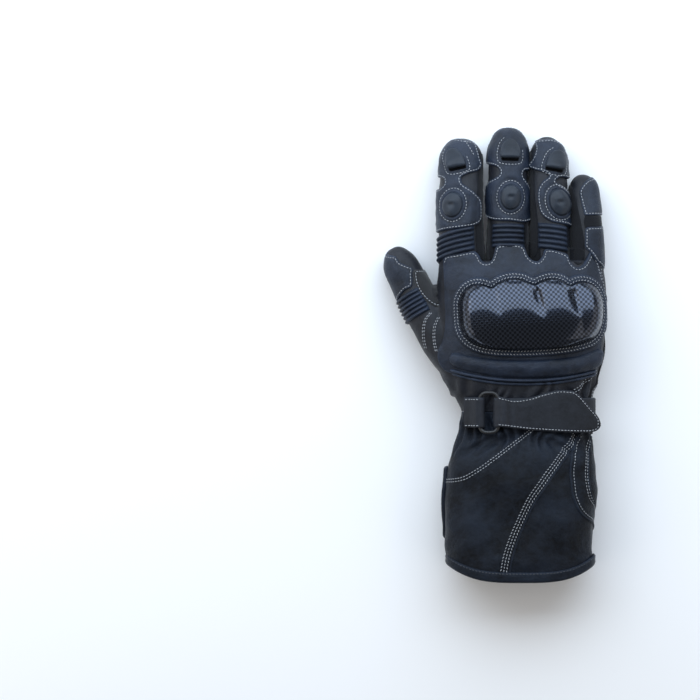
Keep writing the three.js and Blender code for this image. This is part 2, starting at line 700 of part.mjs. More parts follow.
// An oval dome on a digit's back
const PAD_SPOKES = 10;
const PAD_RINGS = [1, 0.75, 0.4];
const PAD_SINK = 4; // the dome is cut off where it meets the finger

function oval(digit, along, across, turn) {
  const centre = onDigit(digit, along, across, 0);
  const angle = THREE.MathUtils.degToRad(turn) - digit.heading;
  const heightAt = (x, y) => {
    const section = digitSection(digit, (y - digit.root.y) / digit.length, secondBase);
    return onSection(section, (x - section.centre.x) / section.half, 1).z;
  };
  const rings = PAD_RINGS.map((share) => {
    const points = [];
    for (let k = 0; k < PAD_SPOKES; k++) {
      const a = (2 * Math.PI * k) / PAD_SPOKES;
      const [u, v] = [PAD_HALF_WIDTH * share * Math.cos(a), PAD_HALF_LENGTH * share * Math.sin(a)];
      const x = centre.x + u * Math.cos(angle) - v * Math.sin(angle);
      const y = centre.y + u * Math.sin(angle) + v * Math.cos(angle);
      points.push(new THREE.Vector3(x, y, heightAt(x, y) + PAD_HEIGHT * (1.1 - share ** 2.5)));
    }
    return points;
  });
  const base = rings[0].map((p) => new THREE.Vector3(p.x, p.y, p.z - PAD_SINK));
  return loft([base, ...rings]).subtract(digitSolid(digit, secondBase));
}

// A hood over an air vent near the fingertip, open towards the wrist
function hood(digit, along, across) {
  const rows = 3;
  const columns = 6;
  const reach = VENT_LENGTH / digit.length / 2;
  const grid = (height) => {
    const made = [];
    for (let i = 0; i <= rows; i++) {
      const share = i / rows;
      const place = mix(along + reach, along - reach, share);
      const half = (VENT_HALF_WIDTH * Math.min(1, 0.42 + 0.75 * share)) / digitSection(digit, place, 0).half;
      const row = [];
      for (let j = 0; j <= columns; j++) {
        const over = (2 * j) / columns - 1;
        const arch = (1 - over ** 4) * (0.25 + 0.75 * share);
        const grow = secondBase + height + VENT_HEIGHT * arch;
        row.push(onDigit(digit, place, across + over * half, grow));
      }
      made.push(row);
    }
    return made;
  };
  return sheet(grid(VENT_WALL), grid(-VENT_SINK)).subtract(digitSolid(digit, secondBase));
}

for (const row of ARMOURED) {
  const digit = digits[row.name];
  const outline = HOURGLASS.map(digitPoint(digit));
  add(`${row.name}_back_panel`, digitLayer(digit, outline, ...firstLayer, digit.rootHeight * 0.9), panelLeather);
  add(`${row.name}_ribs`, ribs(digit, row.from, RIB_TOP, -0.8, 0.62, RIB_COUNT), panelLeather);
  add(`${row.name}_joint_pad`, oval(digit, row.padAlong, row.padAcross, row.turn), rubber);
  add(`${row.name}_vent_hood`, hood(digit, row.ventAlong, row.ventAcross), rubber);
}

// The little finger's two leather panels, one over its tip and one at its root
const LITTLE_TIP = [
  [-0.62, 0.42], [-0.72, 0.6], [-0.55, 0.74], [-0.15, 0.9], [0.5, 0.9], [0.9, 0.72], [0.96, 0.55], [0.96, 0.42],
];
const LITTLE_ROOT = [[-0.35, 0.04], [-0.4, 0.3], [-0.3, 0.35], [0.9, 0.35], [0.96, 0.2], [0.94, 0.04]];
const little = digits.little;
for (const [name, shape] of [["tip", LITTLE_TIP], ["root", LITTLE_ROOT]]) {
  const outline = shape.map(digitPoint(little));
  add(`little_${name}_panel`, digitLayer(little, outline, ...firstLayer, little.rootHeight * 0.9), panelLeather);
}

// The thumb's tip panel, its ribs and the suede panel on its inner side
const THUMB_TIP = [
  [-0.96, 0.66], [-0.9, 0.82], [-0.5, 0.95], [0.2, 0.96], [0.62, 0.88], [0.35, 0.76], [0.3, 0.66],
];
const THUMB_SUEDE = [[0.42, 0.44], [0.3, 0.62], [0.45, 0.72], [0.9, 0.76], [1.3, 0.7], [1.3, 0.44]];
const thumbDigit = digits.thumb;
const thumbFloor = digitSection(thumbDigit, 0.8, 0).centre.z;
const tipOutline = THUMB_TIP.map(digitPoint(thumbDigit));
add("thumb_tip_panel", digitLayer(thumbDigit, tipOutline, ...firstLayer, thumbFloor), panelLeather);
add("thumb_ribs", ribs(thumbDigit, 0.44, 0.635, -0.86, 0.2, RIB_COUNT), panelLeather);
const suedeOutline = THUMB_SUEDE.map(([across, along]) => {
  const section = digitSection(thumbDigit, along, 0);
  const sideways = aside(section.heading);
  const out = section.half * across;
  return [section.centre.x + sideways.x * out, section.centre.y + sideways.y * out];
});
const suedePanel = digitLayer(thumbDigit, suedeOutline, ...firstLayer).subtract(bodySolid(GAP + PANEL + GAP));
add("thumb_suede_panel", suedePanel, suede);

// The wrist's closure: a base sewn on the palm, a strap that runs round the little finger's side, through the ring
// and back over itself, and an anchor loop that holds the ring
const STRAP_Y = WRIST_Y - 0.5;
const strapTop = Math.max(
  ...[-0.6, -0.3, 0, 0.3, 0.6].map((share) => backHeight(RING_X, STRAP_Y + share * STRAP_WIDTH, 0))
);
const strapHalf = WRIST_WIDTH / 2 + WRIST_SHIFT + 16; // the strap is stiff, and flatter than the wrist
const strapWidest = bodySection(WRIST_Y, 0).centre.z;

function strapHeight(x, over) {
  const peak = strapTop - strapWidest + over;
  const reach = Math.min(1, Math.abs(x - WRIST_SHIFT) / (strapHalf + over));
  return strapWidest + peak * (1 - reach ** BODY_SQUARENESS) ** (1 / BODY_SQUARENESS);
}

// A band bent round one side of the ring: two layers over each other that join at the ring
function hairpin(from, to, layers, width) {
  const steps = 8;
  const side = Math.sign(to - from);
  const path = [];
  for (let i = 0; i <= steps; i++) {
    const x = mix(to, from, i / steps);
    path.push([x, strapHeight(x, layers.low)]);
  }
  path.reverse();
  const spread = layers.high - layers.low;
  for (let k = 1; k < 4; k++) {
    const angle = (Math.PI * k) / 4;
    const lift = layers.low + (spread * (1 - Math.cos(angle))) / 2;
    path.push([to + (side * Math.sin(angle) * spread) / 2, strapHeight(to, lift)]);
  }
  for (let i = 0; i <= steps; i++) {
    const x = mix(to, layers.end, i / steps);
    path.push([x, strapHeight(x, layers.high)]);
  }
  const thick = STRAP_THICKNESS / 2;
  const normals = path.map((_, i) => {
    const [ax, az] = path[Math.max(0, i - 1)];
    const [bx, bz] = path[Math.min(path.length - 1, i + 1)];
    return new THREE.Vector2(az - bz, bx - ax).normalize();
  });
  const offset = (sign) => path.map(([x, z], i) => [x + normals[i].x * sign * thick, z + normals[i].y * sign * thick]);
  const rings = [-width / 2, width / 2].map((y) => [offset(1), offset(-1)].map((line) => line.map(([x, z]) =>
    new THREE.Vector3(x, STRAP_Y + y, z))));
  return sheet(
    rings.map(([outer]) => outer),
    rings.map(([, inner]) => inner)
  );
}

const strapLayers = {
  low: GAP + 0.4 + STRAP_THICKNESS / 2,
  high: GAP + 0.4 + STRAP_THICKNESS * 1.5 + RING_WIRE + 2 * GAP,
};
const ringLevel = (strapLayers.low + strapLayers.high) / 2;
const barOffset = (RING_WIDTH - RING_WIRE) / 2;

// The ring: a rounded rectangle of wire
const RING_CORNER = 4;
function roundedBox(width, height, corner) {
  const path = [];
  for (const [cx, cy, start] of [[1, 1, 0], [-1, 1, 1], [-1, -1, 2], [1, -1, 3]]) {
    for (let k = 0; k <= 3; k++) {
      const angle = ((start + k / 3) * Math.PI) / 2;
      path.push([
        cx * (width / 2 - corner) + corner * Math.cos(angle),
        cy * (height / 2 - corner) + corner * Math.sin(angle),
      ]);
    }
  }
  return path;
}
const wireRings = [[1, 0], [0, 1], [-1, 0], [0, -1]].map(([out, rise]) => {
  const grow = (out * RING_WIRE) / 2;
  const loop = roundedBox(RING_WIDTH - RING_WIRE + 2 * grow, RING_HEIGHT - RING_WIRE + 2 * grow, RING_CORNER + grow);
  return loop.map(([x, y]) => {
    const z = strapHeight(RING_X + x, ringLevel) + (rise * RING_WIRE) / 2;
    return new THREE.Vector3(RING_X + x, STRAP_Y + y, z);
  });
});
add("strap_ring", closedBand(wireRings), blackPlastic);

const STRAP_END = WRIST_SHIFT + WRIST_WIDTH / 2 + 6; // the tongue's tip, past the wrist's edge
const UNDER_END = WRIST_SHIFT + WRIST_WIDTH / 2 - 8; // where the under layer goes down the side
const ANCHOR_END = -37.5;
const STRAP_OUTLINE = [
  [0.0, -0.42], [0.3, -0.45], [0.6, -0.5], [0.85, -0.56], [0.97, -0.5], [1.0, -0.3], [0.95, 0.0], [0.86, 0.3],
  [0.72, 0.62], [0.6, 0.72], [0.42, 0.62], [0.2, 0.42], [0.0, 0.5],
];
const strapLeft = RING_X + barOffset - RING_WIRE - STRAP_THICKNESS - 3;
const strapOutline = STRAP_OUTLINE.map(([along, across]) => [
  mix(strapLeft, STRAP_END, along),
  STRAP_Y + across * STRAP_WIDTH,
]);
const strapPin = hairpin(UNDER_END, RING_X + barOffset, { ...strapLayers, end: STRAP_END }, STRAP_WIDTH * 2);
const strapSpace = bodySolid(GAP);
add("wrist_strap", strapPin.intersect(prism(strapOutline, 0, FAR)).subtract(strapSpace), panelLeather);
const anchorPin = hairpin(ANCHOR_END, RING_X - barOffset, { ...strapLayers, end: ANCHOR_END }, STRAP_WIDTH);
add("strap_anchor", anchorPin.subtract(strapSpace), panelLeather);

// The palm's pieces. Their outlines are shares of the hand, read from the palm side and seen from the back.
const STRAP_BASE = [
  [-0.5, -0.02], [-0.42, -0.2], [-0.36, -0.27], [-0.1, -0.29], [0.3, -0.26], [0.62, -0.21], [0.98, -0.16],
  [0.98, 0.08], [0.4, 0.04],
].map(handPoint);
add("strap_base", bodyLayer(STRAP_BASE, -1, GAP, GAP + THICK_PANEL), suede);

const HEEL_PATCH = [
  [-0.5, 0.0], [-0.68, 0.16], [-0.7, 0.3], [-0.68, 0.5], [-0.62, 0.56], [-0.12, 0.49], [0.16, 0.46], [0.42, 0.48],
  [0.7, 0.58], [1.0, 0.68], [1.0, 0.1], [0.4, 0.06],
].map(handPoint);
const PAD_LARGE = [
  [-0.42, 0.34], [-0.36, 0.39], [0.02, 0.39], [0.1, 0.35], [0.2, 0.2], [0.19, 0.1], [0.13, 0.075], [-0.24, 0.065],
  [-0.32, 0.1], [-0.38, 0.22],
].map(handPoint);
const PAD_SMALL = [
  [0.66, 0.22], [0.65, 0.33], [0.7, 0.42], [0.78, 0.43], [0.86, 0.36], [0.87, 0.25], [0.8, 0.17], [0.72, 0.17],
].map(handPoint);
const heelPads = [["large", smooth(PAD_LARGE, 14)], ["small", smooth(PAD_SMALL, 12)]];
const padHoles = heelPads.map(([, loop]) => prism(grown(loop, GAP), -FAR, middleHeight));
const heelPatch = bodyLayer(HEEL_PATCH, -1, GAP, GAP + THICK_PANEL);
add("palm_heel_patch", padHoles.reduce((solid, hole) => solid.subtract(hole), heelPatch), suede);
for (const [size, loop] of heelPads) {
  add(`palm_pad_${size}`, bodyLayer(loop, -1, GAP, GAP + FLAP_THICKNESS), leather);
}

const GRIP_PATCH = [
  [-0.9, 0.62], [-0.92, 0.97], [-0.84, 0.985], [-0.62, 0.985], [-0.6, 0.93], [-0.53, 0.9], [-0.45, 0.93], [-0.36, 0.985],
  [-0.2, 0.985], [-0.15, 0.92], [-0.08, 0.9], [0.02, 0.93], [0.1, 0.985], [0.24, 0.985], [0.3, 0.93], [0.46, 0.9],
  [0.5, 0.86], [0.46, 0.82], [-0.2, 0.83], [-0.24, 0.8], [-0.2, 0.77], [0.42, 0.7], [0.5, 0.66], [0.46, 0.62],
  [0.0, 0.68], [-0.3, 0.73], [-0.5, 0.72], [-0.6, 0.66], [-0.72, 0.58],
].map(handPoint);
add("palm_grip_patch", bodyLayer(GRIP_PATCH, -1, GAP, GAP + THICK_PANEL), suede);

const LITTLE_SIDE = [[0.6, 0.985], [0.62, 0.8], [0.66, 0.6], [0.72, 0.605], [1.0, 0.7], [1.0, 0.985]].map(handPoint);
add("little_side_panel", bodyLayer(LITTLE_SIDE, -1, ...firstLayer), panelLeather);

// The cuff's closing flap under the palm side, and the inset panel on the little finger's side of its back
const FLAP = [
  [-1.04, 0.2], [-1.04, 0.95], [-0.6, 0.92], [0.05, 0.86], [0.26, 0.82], [0.38, 0.73], [0.43, 0.58], [0.42, 0.3],
  [0.36, 0.17], [0.2, 0.09], [-0.1, 0.08], [-0.6, 0.14],
].map(cuffPoint);
const flapFront = bodyLayer(FLAP, -1, GAP, GAP + FLAP_THICKNESS);
const strapBaseSpace = prism(grown(STRAP_BASE, GAP), -FAR, middleHeight);
add("cuff_flap", flapFront.subtract(strapBaseSpace), leather);

const CUFF_INSET = [
  [0.82, 0.3], [0.74, 0.42], [0.7, 0.55], [0.72, 0.7], [0.78, 0.8], [0.92, 0.78], [1.04, 0.6], [1.04, 0.3],
  [0.94, 0.26],
].map(cuffPoint);
add("cuff_side_panel", bodyLayer(CUFF_INSET, 1, ...firstLayer), panelLeather);

// The finished group: one mesh for each piece
const glove = new THREE.Group();
for (const { name, solid, material } of nodes) {
  const mesh = solid.getMesh();
  const geometry = new THREE.BufferGeometry()
    .setAttribute("position", new THREE.BufferAttribute(Float32Array.from(mesh.vertProperties), 3))
    .setIndex(new THREE.BufferAttribute(Uint32Array.from(mesh.triVerts), 1));
  const piece = new THREE.Mesh(geometry.toNonIndexed(), material);
  piece.geometry.computeVertexNormals();
  piece.name = name;
  glove.add(piece);
}

export default glove;
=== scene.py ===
"""Looks for the leather racing glove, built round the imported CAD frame.

Lengths are in millimetres until a mesh is made. A tube of leather, such as the hand or a finger, is a
Skin: its places are (u, v), millimetres around it from the middle of the back and millimetres along it.
Leather panels, stretch ribs and rows of stitches are all laid on skins, and what lies on a piece is
dropped on that piece's own mesh.
"""

import math

import bmesh
import bpy
import numpy as np
from mathutils import Matrix, Vector, noise
from mathutils.bvhtree import BVHTree
from mathutils.geometry import delaunay_2d_cdt


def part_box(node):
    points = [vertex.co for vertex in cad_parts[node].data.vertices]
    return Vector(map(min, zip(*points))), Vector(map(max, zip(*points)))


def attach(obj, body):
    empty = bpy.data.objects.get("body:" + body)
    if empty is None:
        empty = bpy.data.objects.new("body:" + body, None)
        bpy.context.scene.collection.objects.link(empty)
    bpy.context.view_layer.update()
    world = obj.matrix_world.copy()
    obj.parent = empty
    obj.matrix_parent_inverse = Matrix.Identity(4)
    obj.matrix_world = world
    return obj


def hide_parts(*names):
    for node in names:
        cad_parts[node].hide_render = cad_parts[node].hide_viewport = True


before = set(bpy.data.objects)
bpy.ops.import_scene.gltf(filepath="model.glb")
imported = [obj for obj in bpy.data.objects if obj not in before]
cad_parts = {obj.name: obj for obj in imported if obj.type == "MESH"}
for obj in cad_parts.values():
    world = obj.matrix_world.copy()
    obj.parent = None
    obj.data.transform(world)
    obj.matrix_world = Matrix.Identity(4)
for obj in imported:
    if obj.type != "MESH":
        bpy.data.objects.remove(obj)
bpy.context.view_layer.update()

MM = 0.001
TINY = 1e-9  # keeps a division from zero

# The photograph: one picture point in millimetres, and the picture point of the frame's origin
POINT = 0.66
ORIGIN_POINT = (520, 510)
PICTURE_SIZE = 700


def low(node):
    return np.array(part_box(node)[0]) / MM


def high(node):
    return np.array(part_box(node)[1]) / MM


def photo(points):
    """Places in the glove's plan, from points of the photograph."""
    points = np.asarray(points, float)
    return np.stack([(points[:, 0] - ORIGIN_POINT[0]) * POINT, (ORIGIN_POINT[1] - points[:, 1]) * POINT], 1)


# Lines and levels that the frame gives
SEAM = 0.35  # clear space where the cuff is sewn to the hand
HEM_Y = low("cuff_shell")[1]
WRIST_Y = low("hand_shell")[1] - SEAM / 2
ROOT_Y = high("hand_shell")[1]
REST_Z = low("hand_shell")[2]
WALL = 1.6
STITCH = dict(pitch=2.1, length=1.3, radius=0.24)
CLEAR = 0.1  # of the shell over the floor
NEARLY_DOWN = 0.02  # of what is sewn on the shell


# Curves and tables

def smooth_curve(xs, ys, x):
    """A monotone cubic through the rows of a table."""
    xs, ys, x = np.asarray(xs, float), np.asarray(ys, float), np.asarray(x, float)
    step = np.diff(xs)
    slope = np.diff(ys) / step
    tangent = np.zeros_like(ys)
    same = slope[:-1] * slope[1:] > 0
    total = slope[:-1] + slope[1:]
    tangent[1:-1] = np.where(same, 2 * slope[:-1] * slope[1:] / np.where(same, total, 1), 0)
    tangent[0], tangent[-1] = slope[0], slope[-1]
    i = np.clip(np.searchsorted(xs, x) - 1, 0, len(step) - 1)
    t = np.clip((x - xs[i]) / step[i], 0, 1)
    a = (1 + 2 * t) * (1 - t) ** 2 * ys[i] + t * (1 - t) ** 2 * step[i] * tangent[i]
    return a + t * t * (3 - 2 * t) * ys[i + 1] + t * t * (t - 1) * step[i] * tangent[i + 1]


class Table:
    """Rows with named columns, read smoothly at any place in the first column."""

    def __init__(self, columns, rows):
        self.columns = dict(zip(columns, np.array(rows, float).T))
        self.places = self.columns[columns[0]]

    def __call__(self, name, place):
        return smooth_curve(self.places, self.columns[name], place)


def signed_power(values, power):
    return np.sign(values) * np.abs(values) ** power


def bell(x, width):
    return np.exp(-((x / width) ** 2))


def ramp(x, start, end):
    t = np.clip((x - start) / (end - start), 0, 1)
    return t * t * (3 - 2 * t)


def unit(vectors):
    return vectors / np.maximum(np.linalg.norm(vectors, axis=-1), TINY)[..., None]


def circle(count, start=0.0):
    """Angles all the way round."""
    return np.linspace(start, start + 2 * np.pi, count, endpoint=False)


def lengths_along(path):
    """How far along a path each of its points is."""
    return np.concatenate([[0], np.cumsum(np.linalg.norm(np.diff(path, axis=0), axis=1))])


def read_at(places, reach, values):
    """Rows of values read between the places where they are given."""
    return np.stack([np.interp(places, reach, column) for column in values.T], 1)


def kept_over(points, level):
    """Points, with none lower than a level."""
    points[..., 2] = np.maximum(points[..., 2], level)
    return points


def joined(parts):
    """The points and faces of several forms in one list each."""
    points, faces = [], []
    for part_points, part_faces in parts:
        offset = len(points)
        points.extend(map(tuple, part_points))
        faces.extend(tuple(i + offset for i in f) for f in part_faces)
    return points, faces


def through(points, closed=True, spacing=0.8):
    """A smooth line through a few points, sampled evenly."""
    points = np.asarray(points, float)
    count = len(points)
    line = []
    for i in range(count if closed else count - 1):
        if closed:
            a, b, c, d = (points[(i + k) % count] for k in (-1, 0, 1, 2))
        else:
            a, b, c, d = points[max(i - 1, 0)], points[i], points[i + 1], points[min(i + 2, count - 1)]
        reach = np.linalg.norm(c - b)
        into = (c - a) * reach / (np.linalg.norm(c - b) + np.linalg.norm(b - a) + TINY)
        out = (d - b) * reach / (np.linalg.norm(d - c) + np.linalg.norm(c - b) + TINY)
        t = np.linspace(0, 1, 16, endpoint=False)[:, None]
        line.append(
            (2 * t**3 - 3 * t**2 + 1) * b + (t**3 - 2 * t**2 + t) * into
            + (3 * t**2 - 2 * t**3) * c + (t**3 - t**2) * out
        )
    line = np.concatenate(line + ([] if closed else [points[-1:]]))
    return resample(line, spacing, closed)


def resample(line, spacing, closed):
    if closed:
        line = np.concatenate([line, line[:1]])
    reach = lengths_along(line)
    count = max(3, int(round(reach[-1] / spacing)))
    places = np.linspace(0, reach[-1], count + 1)
    if closed:
        places = places[:-1]
    return read_at(places, reach, line)


BATCH = 2000  # points at a time, for memory's sake


def to_line(points, line, closed=True):
    """Distance from each point to a line, less than zero outside a closed one."""
    a = line
    b = np.roll(line, -1, axis=0)
    if not closed:
        a, b = line[:-1], line[1:]
    nearest = np.zeros(len(points))
    crossings = np.zeros(len(points), int)
    for start in range(0, len(points), BATCH):
        batch = slice(start, start + BATCH)
        p = points[batch, None, :]
        along = b - a
        t = ((p - a) * along).sum(-1) / np.maximum((along * along).sum(-1), 1e-12)
        gap = p - (a + np.clip(t, 0, 1)[..., None] * along)
        nearest[batch] = np.sqrt((gap * gap).sum(-1)).min(1)
        if closed:
            above = (a[:, 1] > p[..., 1]) != (b[:, 1] > p[..., 1])
            rise = np.where(np.abs(along[:, 1]) < 1e-12, 1e-12, along[:, 1])
            across = a[:, 0] + (p[..., 1] - a[:, 1]) * along[:, 0] / rise
            crossings[batch] = (above & (p[..., 0] < across)).sum(1)
    if closed:
        nearest = np.where(crossings % 2 == 1, nearest, -nearest)
    return nearest


def normals_of(line, closed):
    """Left-hand normals along a line in the plane."""
    if closed:
        along = np.roll(line, -1, axis=0) - np.roll(line, 1, axis=0)
    else:
        along = np.gradient(line, axis=0)
    along = unit(along)
    return np.stack([-along[:, 1], along[:, 0]], 1)


def turning(line):
    """1 for an outline that runs anticlockwise, and -1 for one that runs clockwise."""
    nxt = np.roll(line, -1, axis=0)
    return np.sign((line[:, 0] * nxt[:, 1] - nxt[:, 0] * line[:, 1]).sum())


def inset(line, distance):
    """A closed outline moved inwards, or outwards where the distance is less than zero."""
    moved = line + normals_of(line, True) * distance * turning(line)
    away = to_line(moved, line)
    if distance < 0:
        away = np.abs(away)
    return moved[away > abs(distance) * 0.96 - 0.02]


# Skins: the body, the four fingers and the thumb

SQUARENESS = dict(body=2.5, digit=2.2)

BODY = Table(
    ("y", "half", "thick", "lift", "shift", "bow"),
    [
        (-111.0, 48.4, 43.6, 0.0, 0.5, 11.0),
        (-97.7, 49.1, 43.6, 0.0, 0.5, 9.3),
        (-55.5, 49.0, 42.5, 0.0, 0.4, 1.1),
        (-37.0, 47.6, 40.3, 0.0, 0.8, 0.0),
        (-25.0, 45.4, 36.8, 0.3, 1.8, 0.0),
        (-10.0, 42.2, 31.7, 1.2, 4.0, 0.0),
        (0.0, 42.4, 30.6, 1.4, 4.2, 0.0),
        (10.0, 46.2, 32.8, 0.6, 2.0, 0.0),
        (22.0, 51.2, 35.5, 0.0, 0.4, 0.0),
        (40.0, 55.3, 38.4, 0.0, -0.2, 0.0),
        (63.0, 56.1, 39.6, 0.0, 1.1, 0.0),
        (85.0, 55.2, 38.5, 0.4, 0.8, 0.0),
        (100.0, 53.8, 32.4, 2.8, 0.5, 0.0),
        (112.0, 52.5, 30.0, 3.0, 0.5, 0.0),
    ],
)
PRESSED = 1.6
WIDEST_SHARE = 0.45
BOW_POWER = 3.4

FINGER = Table(
    ("along", "wide", "deep", "droop"),
    [
        (-0.10, 0.94, 0.98, 0.00),
        (0.00, 1.00, 1.00, 0.00),
        (0.24, 0.97, 1.00, 0.06),
        (0.50, 0.98, 1.00, 0.27),
        (0.72, 0.95, 0.92, 0.62),
        (1.00, 0.90, 0.80, 1.00),
    ],
)
THUMB = Table(
    ("along", "wide", "deep", "droop"),
    [
        (-0.05, 0.50, 0.80, 0.00),
        (0.00, 0.62, 0.90, 0.00),
        (0.16, 0.90, 1.00, 0.12),
        (0.34, 1.02, 1.04, 0.30),
        (0.54, 1.00, 1.00, 0.55),
        (0.74, 0.94, 0.90, 0.85),
        (1.00, 0.90, 0.84, 1.00),
    ],
)
TIP_CLEARANCE = 0.3
ROUND_TIP = 2.5
TIP_SQUARENESS = 2.2
THUMB_LEAN = math.tan(math.radians(24.8))
DIGITS = {
    "index": dict(length=81, width=29.4, depth=25, lean=-0.06, bend=0.086, x=-38.3, tip=0.78),
    "middle": dict(length=88.5, width=26.0, depth=25, lean=0.01, bend=0.002, x=-7.85, tip=0.74),
    "ring": dict(length=82.5, width=26, depth=24, lean=-0.01, bend=-0.015, x=20.35, tip=0.74),
    "little": dict(length=57.5, width=21, depth=21, lean=-0.025, bend=-0.035, x=45.15, tip=0.74),
    "thumb": dict(length=86, width=25, depth=24, lean=-THUMB_LEAN, bend=-0.02, x=-46.5, tip=0.76),
}
FINGERS = ("index", "middle", "ring", "little")
for name, digit in DIGITS.items():
    digit["table"] = FINGER if name in FINGERS else THUMB
THUMB_ROOT_Y = WRIST_Y + 31
ROOT_HEIGHT = 20.4


ANGLES = 361  # of the table from u to the angle round a skin


def body_section(v):
    thick = BODY("thick", v)
    bottom = REST_Z - PRESSED + BODY("lift", v)
    return dict(
        x=BODY("shift", v), y=WRIST_Y + v, z=bottom + WIDEST_SHARE * thick, heading=np.zeros_like(v),
        half=BODY("half", v), rise=(1 - WIDEST_SHARE) * thick, sink=WIDEST_SHARE * thick, bow=BODY("bow", v),
        power=SQUARENESS["body"],
    )


def digit_section(name):
    d = DIGITS[name]
    heading = math.atan(d["lean"])
    root = np.array([d["x"], THUMB_ROOT_Y if name == "thumb" else ROOT_Y])
    tip_height = TIP_CLEARANCE + d["table"].columns["deep"][-1] * d["depth"] / 2

    def section(v):
        along = v / d["length"]
        tip = np.clip((along - d["tip"]) / (1 - d["tip"]), 0, 1)
        round_off = np.maximum(0.0004, 1 - tip**ROUND_TIP) ** (1 / TIP_SQUARENESS)
        droop = d["table"]("droop", along)
        sideways = d["length"] * d["bend"] * along * np.abs(along)
        turn = heading + np.arctan(2 * d["bend"] * np.abs(along))
        thick = d["table"]("deep", along) * d["depth"] * round_off / 2
        return dict(
            x=root[0] + math.sin(heading) * v + math.cos(heading) * sideways,
            y=root[1] + math.cos(heading) * v - math.sin(heading) * sideways,
            z=ROOT_HEIGHT + (tip_height - ROOT_HEIGHT) * droop, heading=turn,
            half=d["table"]("wide", along) * d["width"] * round_off / 2, rise=thick, sink=thick,
            bow=np.zeros_like(v), power=SQUARENESS["digit"],
        )

    return section


class Skin:
    """A tube's surface. Round it, u is measured in the section at its middle, wherever v is."""

    def __init__(self, section, middle, length, floor):
        self.section, self.length, self.floor = section, length, floor
        self.phi = np.linspace(0, np.pi, ANGLES)
        path = self.at(self.phi, np.full(ANGLES, float(middle)), 0, clamp=False)
        self.arc = lengths_along(path)
        self.side = np.interp(np.pi / 2, self.phi, self.arc)
        self.under = self.arc[-1]

    def at(self, phi, v, grow, clamp=True):
        s = self.section(v)
        across = signed_power(np.sin(phi), 2 / s["power"])
        height = signed_power(np.cos(phi), 2 / s["power"])
        half = s["half"] + grow
        tall = np.where(height > 0, s["rise"], s["sink"]) + grow
        reach = half * across
        x = s["x"] + np.cos(s["heading"]) * reach
        y = s["y"] - np.sin(s["heading"]) * reach + s["bow"] * np.abs(across) ** BOW_POWER
        z = s["z"] + height * tall
        points = np.stack([x, y, z], 1)
        return kept_over(points, self.floor - grow) if clamp else points

    def place(self, uv, grow=0.0):
        """Points of the surface and the directions out of it."""
        uv = np.asarray(uv, float)
        phi = np.sign(uv[:, 0]) * np.interp(np.abs(uv[:, 0]), self.arc, self.phi)
        inner = self.at(phi, uv[:, 1], grow, clamp=False)
        outer = self.at(phi, uv[:, 1], grow + 1, clamp=False)
        return self.at(phi, uv[:, 1], grow), unit(outer - inner)

    def seen(self, plan, palm=False, over=0.0):
        """(u, v) of places in plan, a little way over the skin. What lies outside goes on round the side."""
        plan = np.asarray(plan, float)
        v = self.along(plan)
        for _ in range(4):
            s = self.section(v)
            right = np.stack([np.cos(s["heading"]), -np.sin(s["heading"])], 1)
            offset = ((plan - np.stack([s["x"], s["y"]], 1)) * right).sum(1)
            across = offset / (s["half"] + over)
            forward = np.stack([np.sin(s["heading"]), np.cos(s["heading"])], 1)
            bowed = s["bow"] * np.clip(np.abs(across), 0, 1) ** BOW_POWER
            v = v + ((plan - np.stack([s["x"], s["y"]], 1)) * forward).sum(1) - bowed
        reach = np.clip(np.abs(across), 0, 1)
        phi = np.arcsin(reach ** (s["power"] / 2))
        beyond = np.maximum(np.abs(offset) - s["half"] - over, 0)
        u = np.interp(phi, self.phi, self.arc)
        if palm:
            u = np.interp(np.pi - phi, self.phi, self.arc)
        u = u + beyond * (-1 if palm else 1)
        return np.stack([np.where(offset < 0, -1.0, 1.0) * u, v], 1)

    def along(self, plan):
        raise NotImplementedError


class BodySkin(Skin):
    def along(self, plan):
        return plan[:, 1] - WRIST_Y


class DigitSkin(Skin):
    def __init__(self, name):
        self.digit = DIGITS[name]
        super().__init__(digit_section(name), 0.4 * self.digit["length"], self.digit["length"], CLEAR)

    def along(self, plan):
        start = self.section(np.array([0.0]))
        heading = math.atan(self.digit["lean"])
        forward = np.array([math.sin(heading), math.cos(heading)])
        root = np.array([start["x"][0], start["y"][0]])
        return (plan - root) @ forward


class PalmSide:
    """The same surface, with u measured from the middle of the palm."""

    def __init__(self, skin):
        self.skin = skin

    def turn_over(self, uv):
        sign = np.where(uv[:, 0] < 0, -1.0, 1.0)
        return np.stack([sign * (self.skin.under - np.abs(uv[:, 0])), uv[:, 1]], 1)

    def place(self, uv, grow=0.0):
        return self.skin.place(self.turn_over(np.asarray(uv, float)), grow)

    def seen(self, plan):
        return self.turn_over(self.skin.seen(plan, palm=True))


hand = BodySkin(body_section, 60, 100, REST_Z)
cuff = BodySkin(body_section, -60, 111, REST_Z)
palm, cuff_palm = PalmSide(hand), PalmSide(cuff)
digits = {name: DigitSkin(name) for name in DIGITS}


def cut(skin, points, spacing=0.8, closed=True):
    """A line through points of the photograph, as it lies on a skin."""
    return through(skin.seen(photo(points)), closed, spacing)


def around(skin, count):
    """The u of places all the way round a skin."""
    phi = circle(count, -np.pi)
    return np.sign(phi) * np.interp(np.abs(phi), skin.phi, skin.arc)


def row_at(u, v):
    return np.stack([u, np.full(len(u), v)], 1)


# Meshes. Every piece's points and faces are kept in millimetres, so that others can be laid on it.
meshes = {}
trees = {}


def linked(name, data):
    obj = bpy.data.objects.new(name, data)
    bpy.context.scene.collection.objects.link(obj)
    return obj


def mesh_of(name, points, faces):
    mesh = bpy.data.meshes.new(name)
    mesh.from_pydata([tuple(p) for p in points], [], [tuple(f) for f in faces])
    return mesh


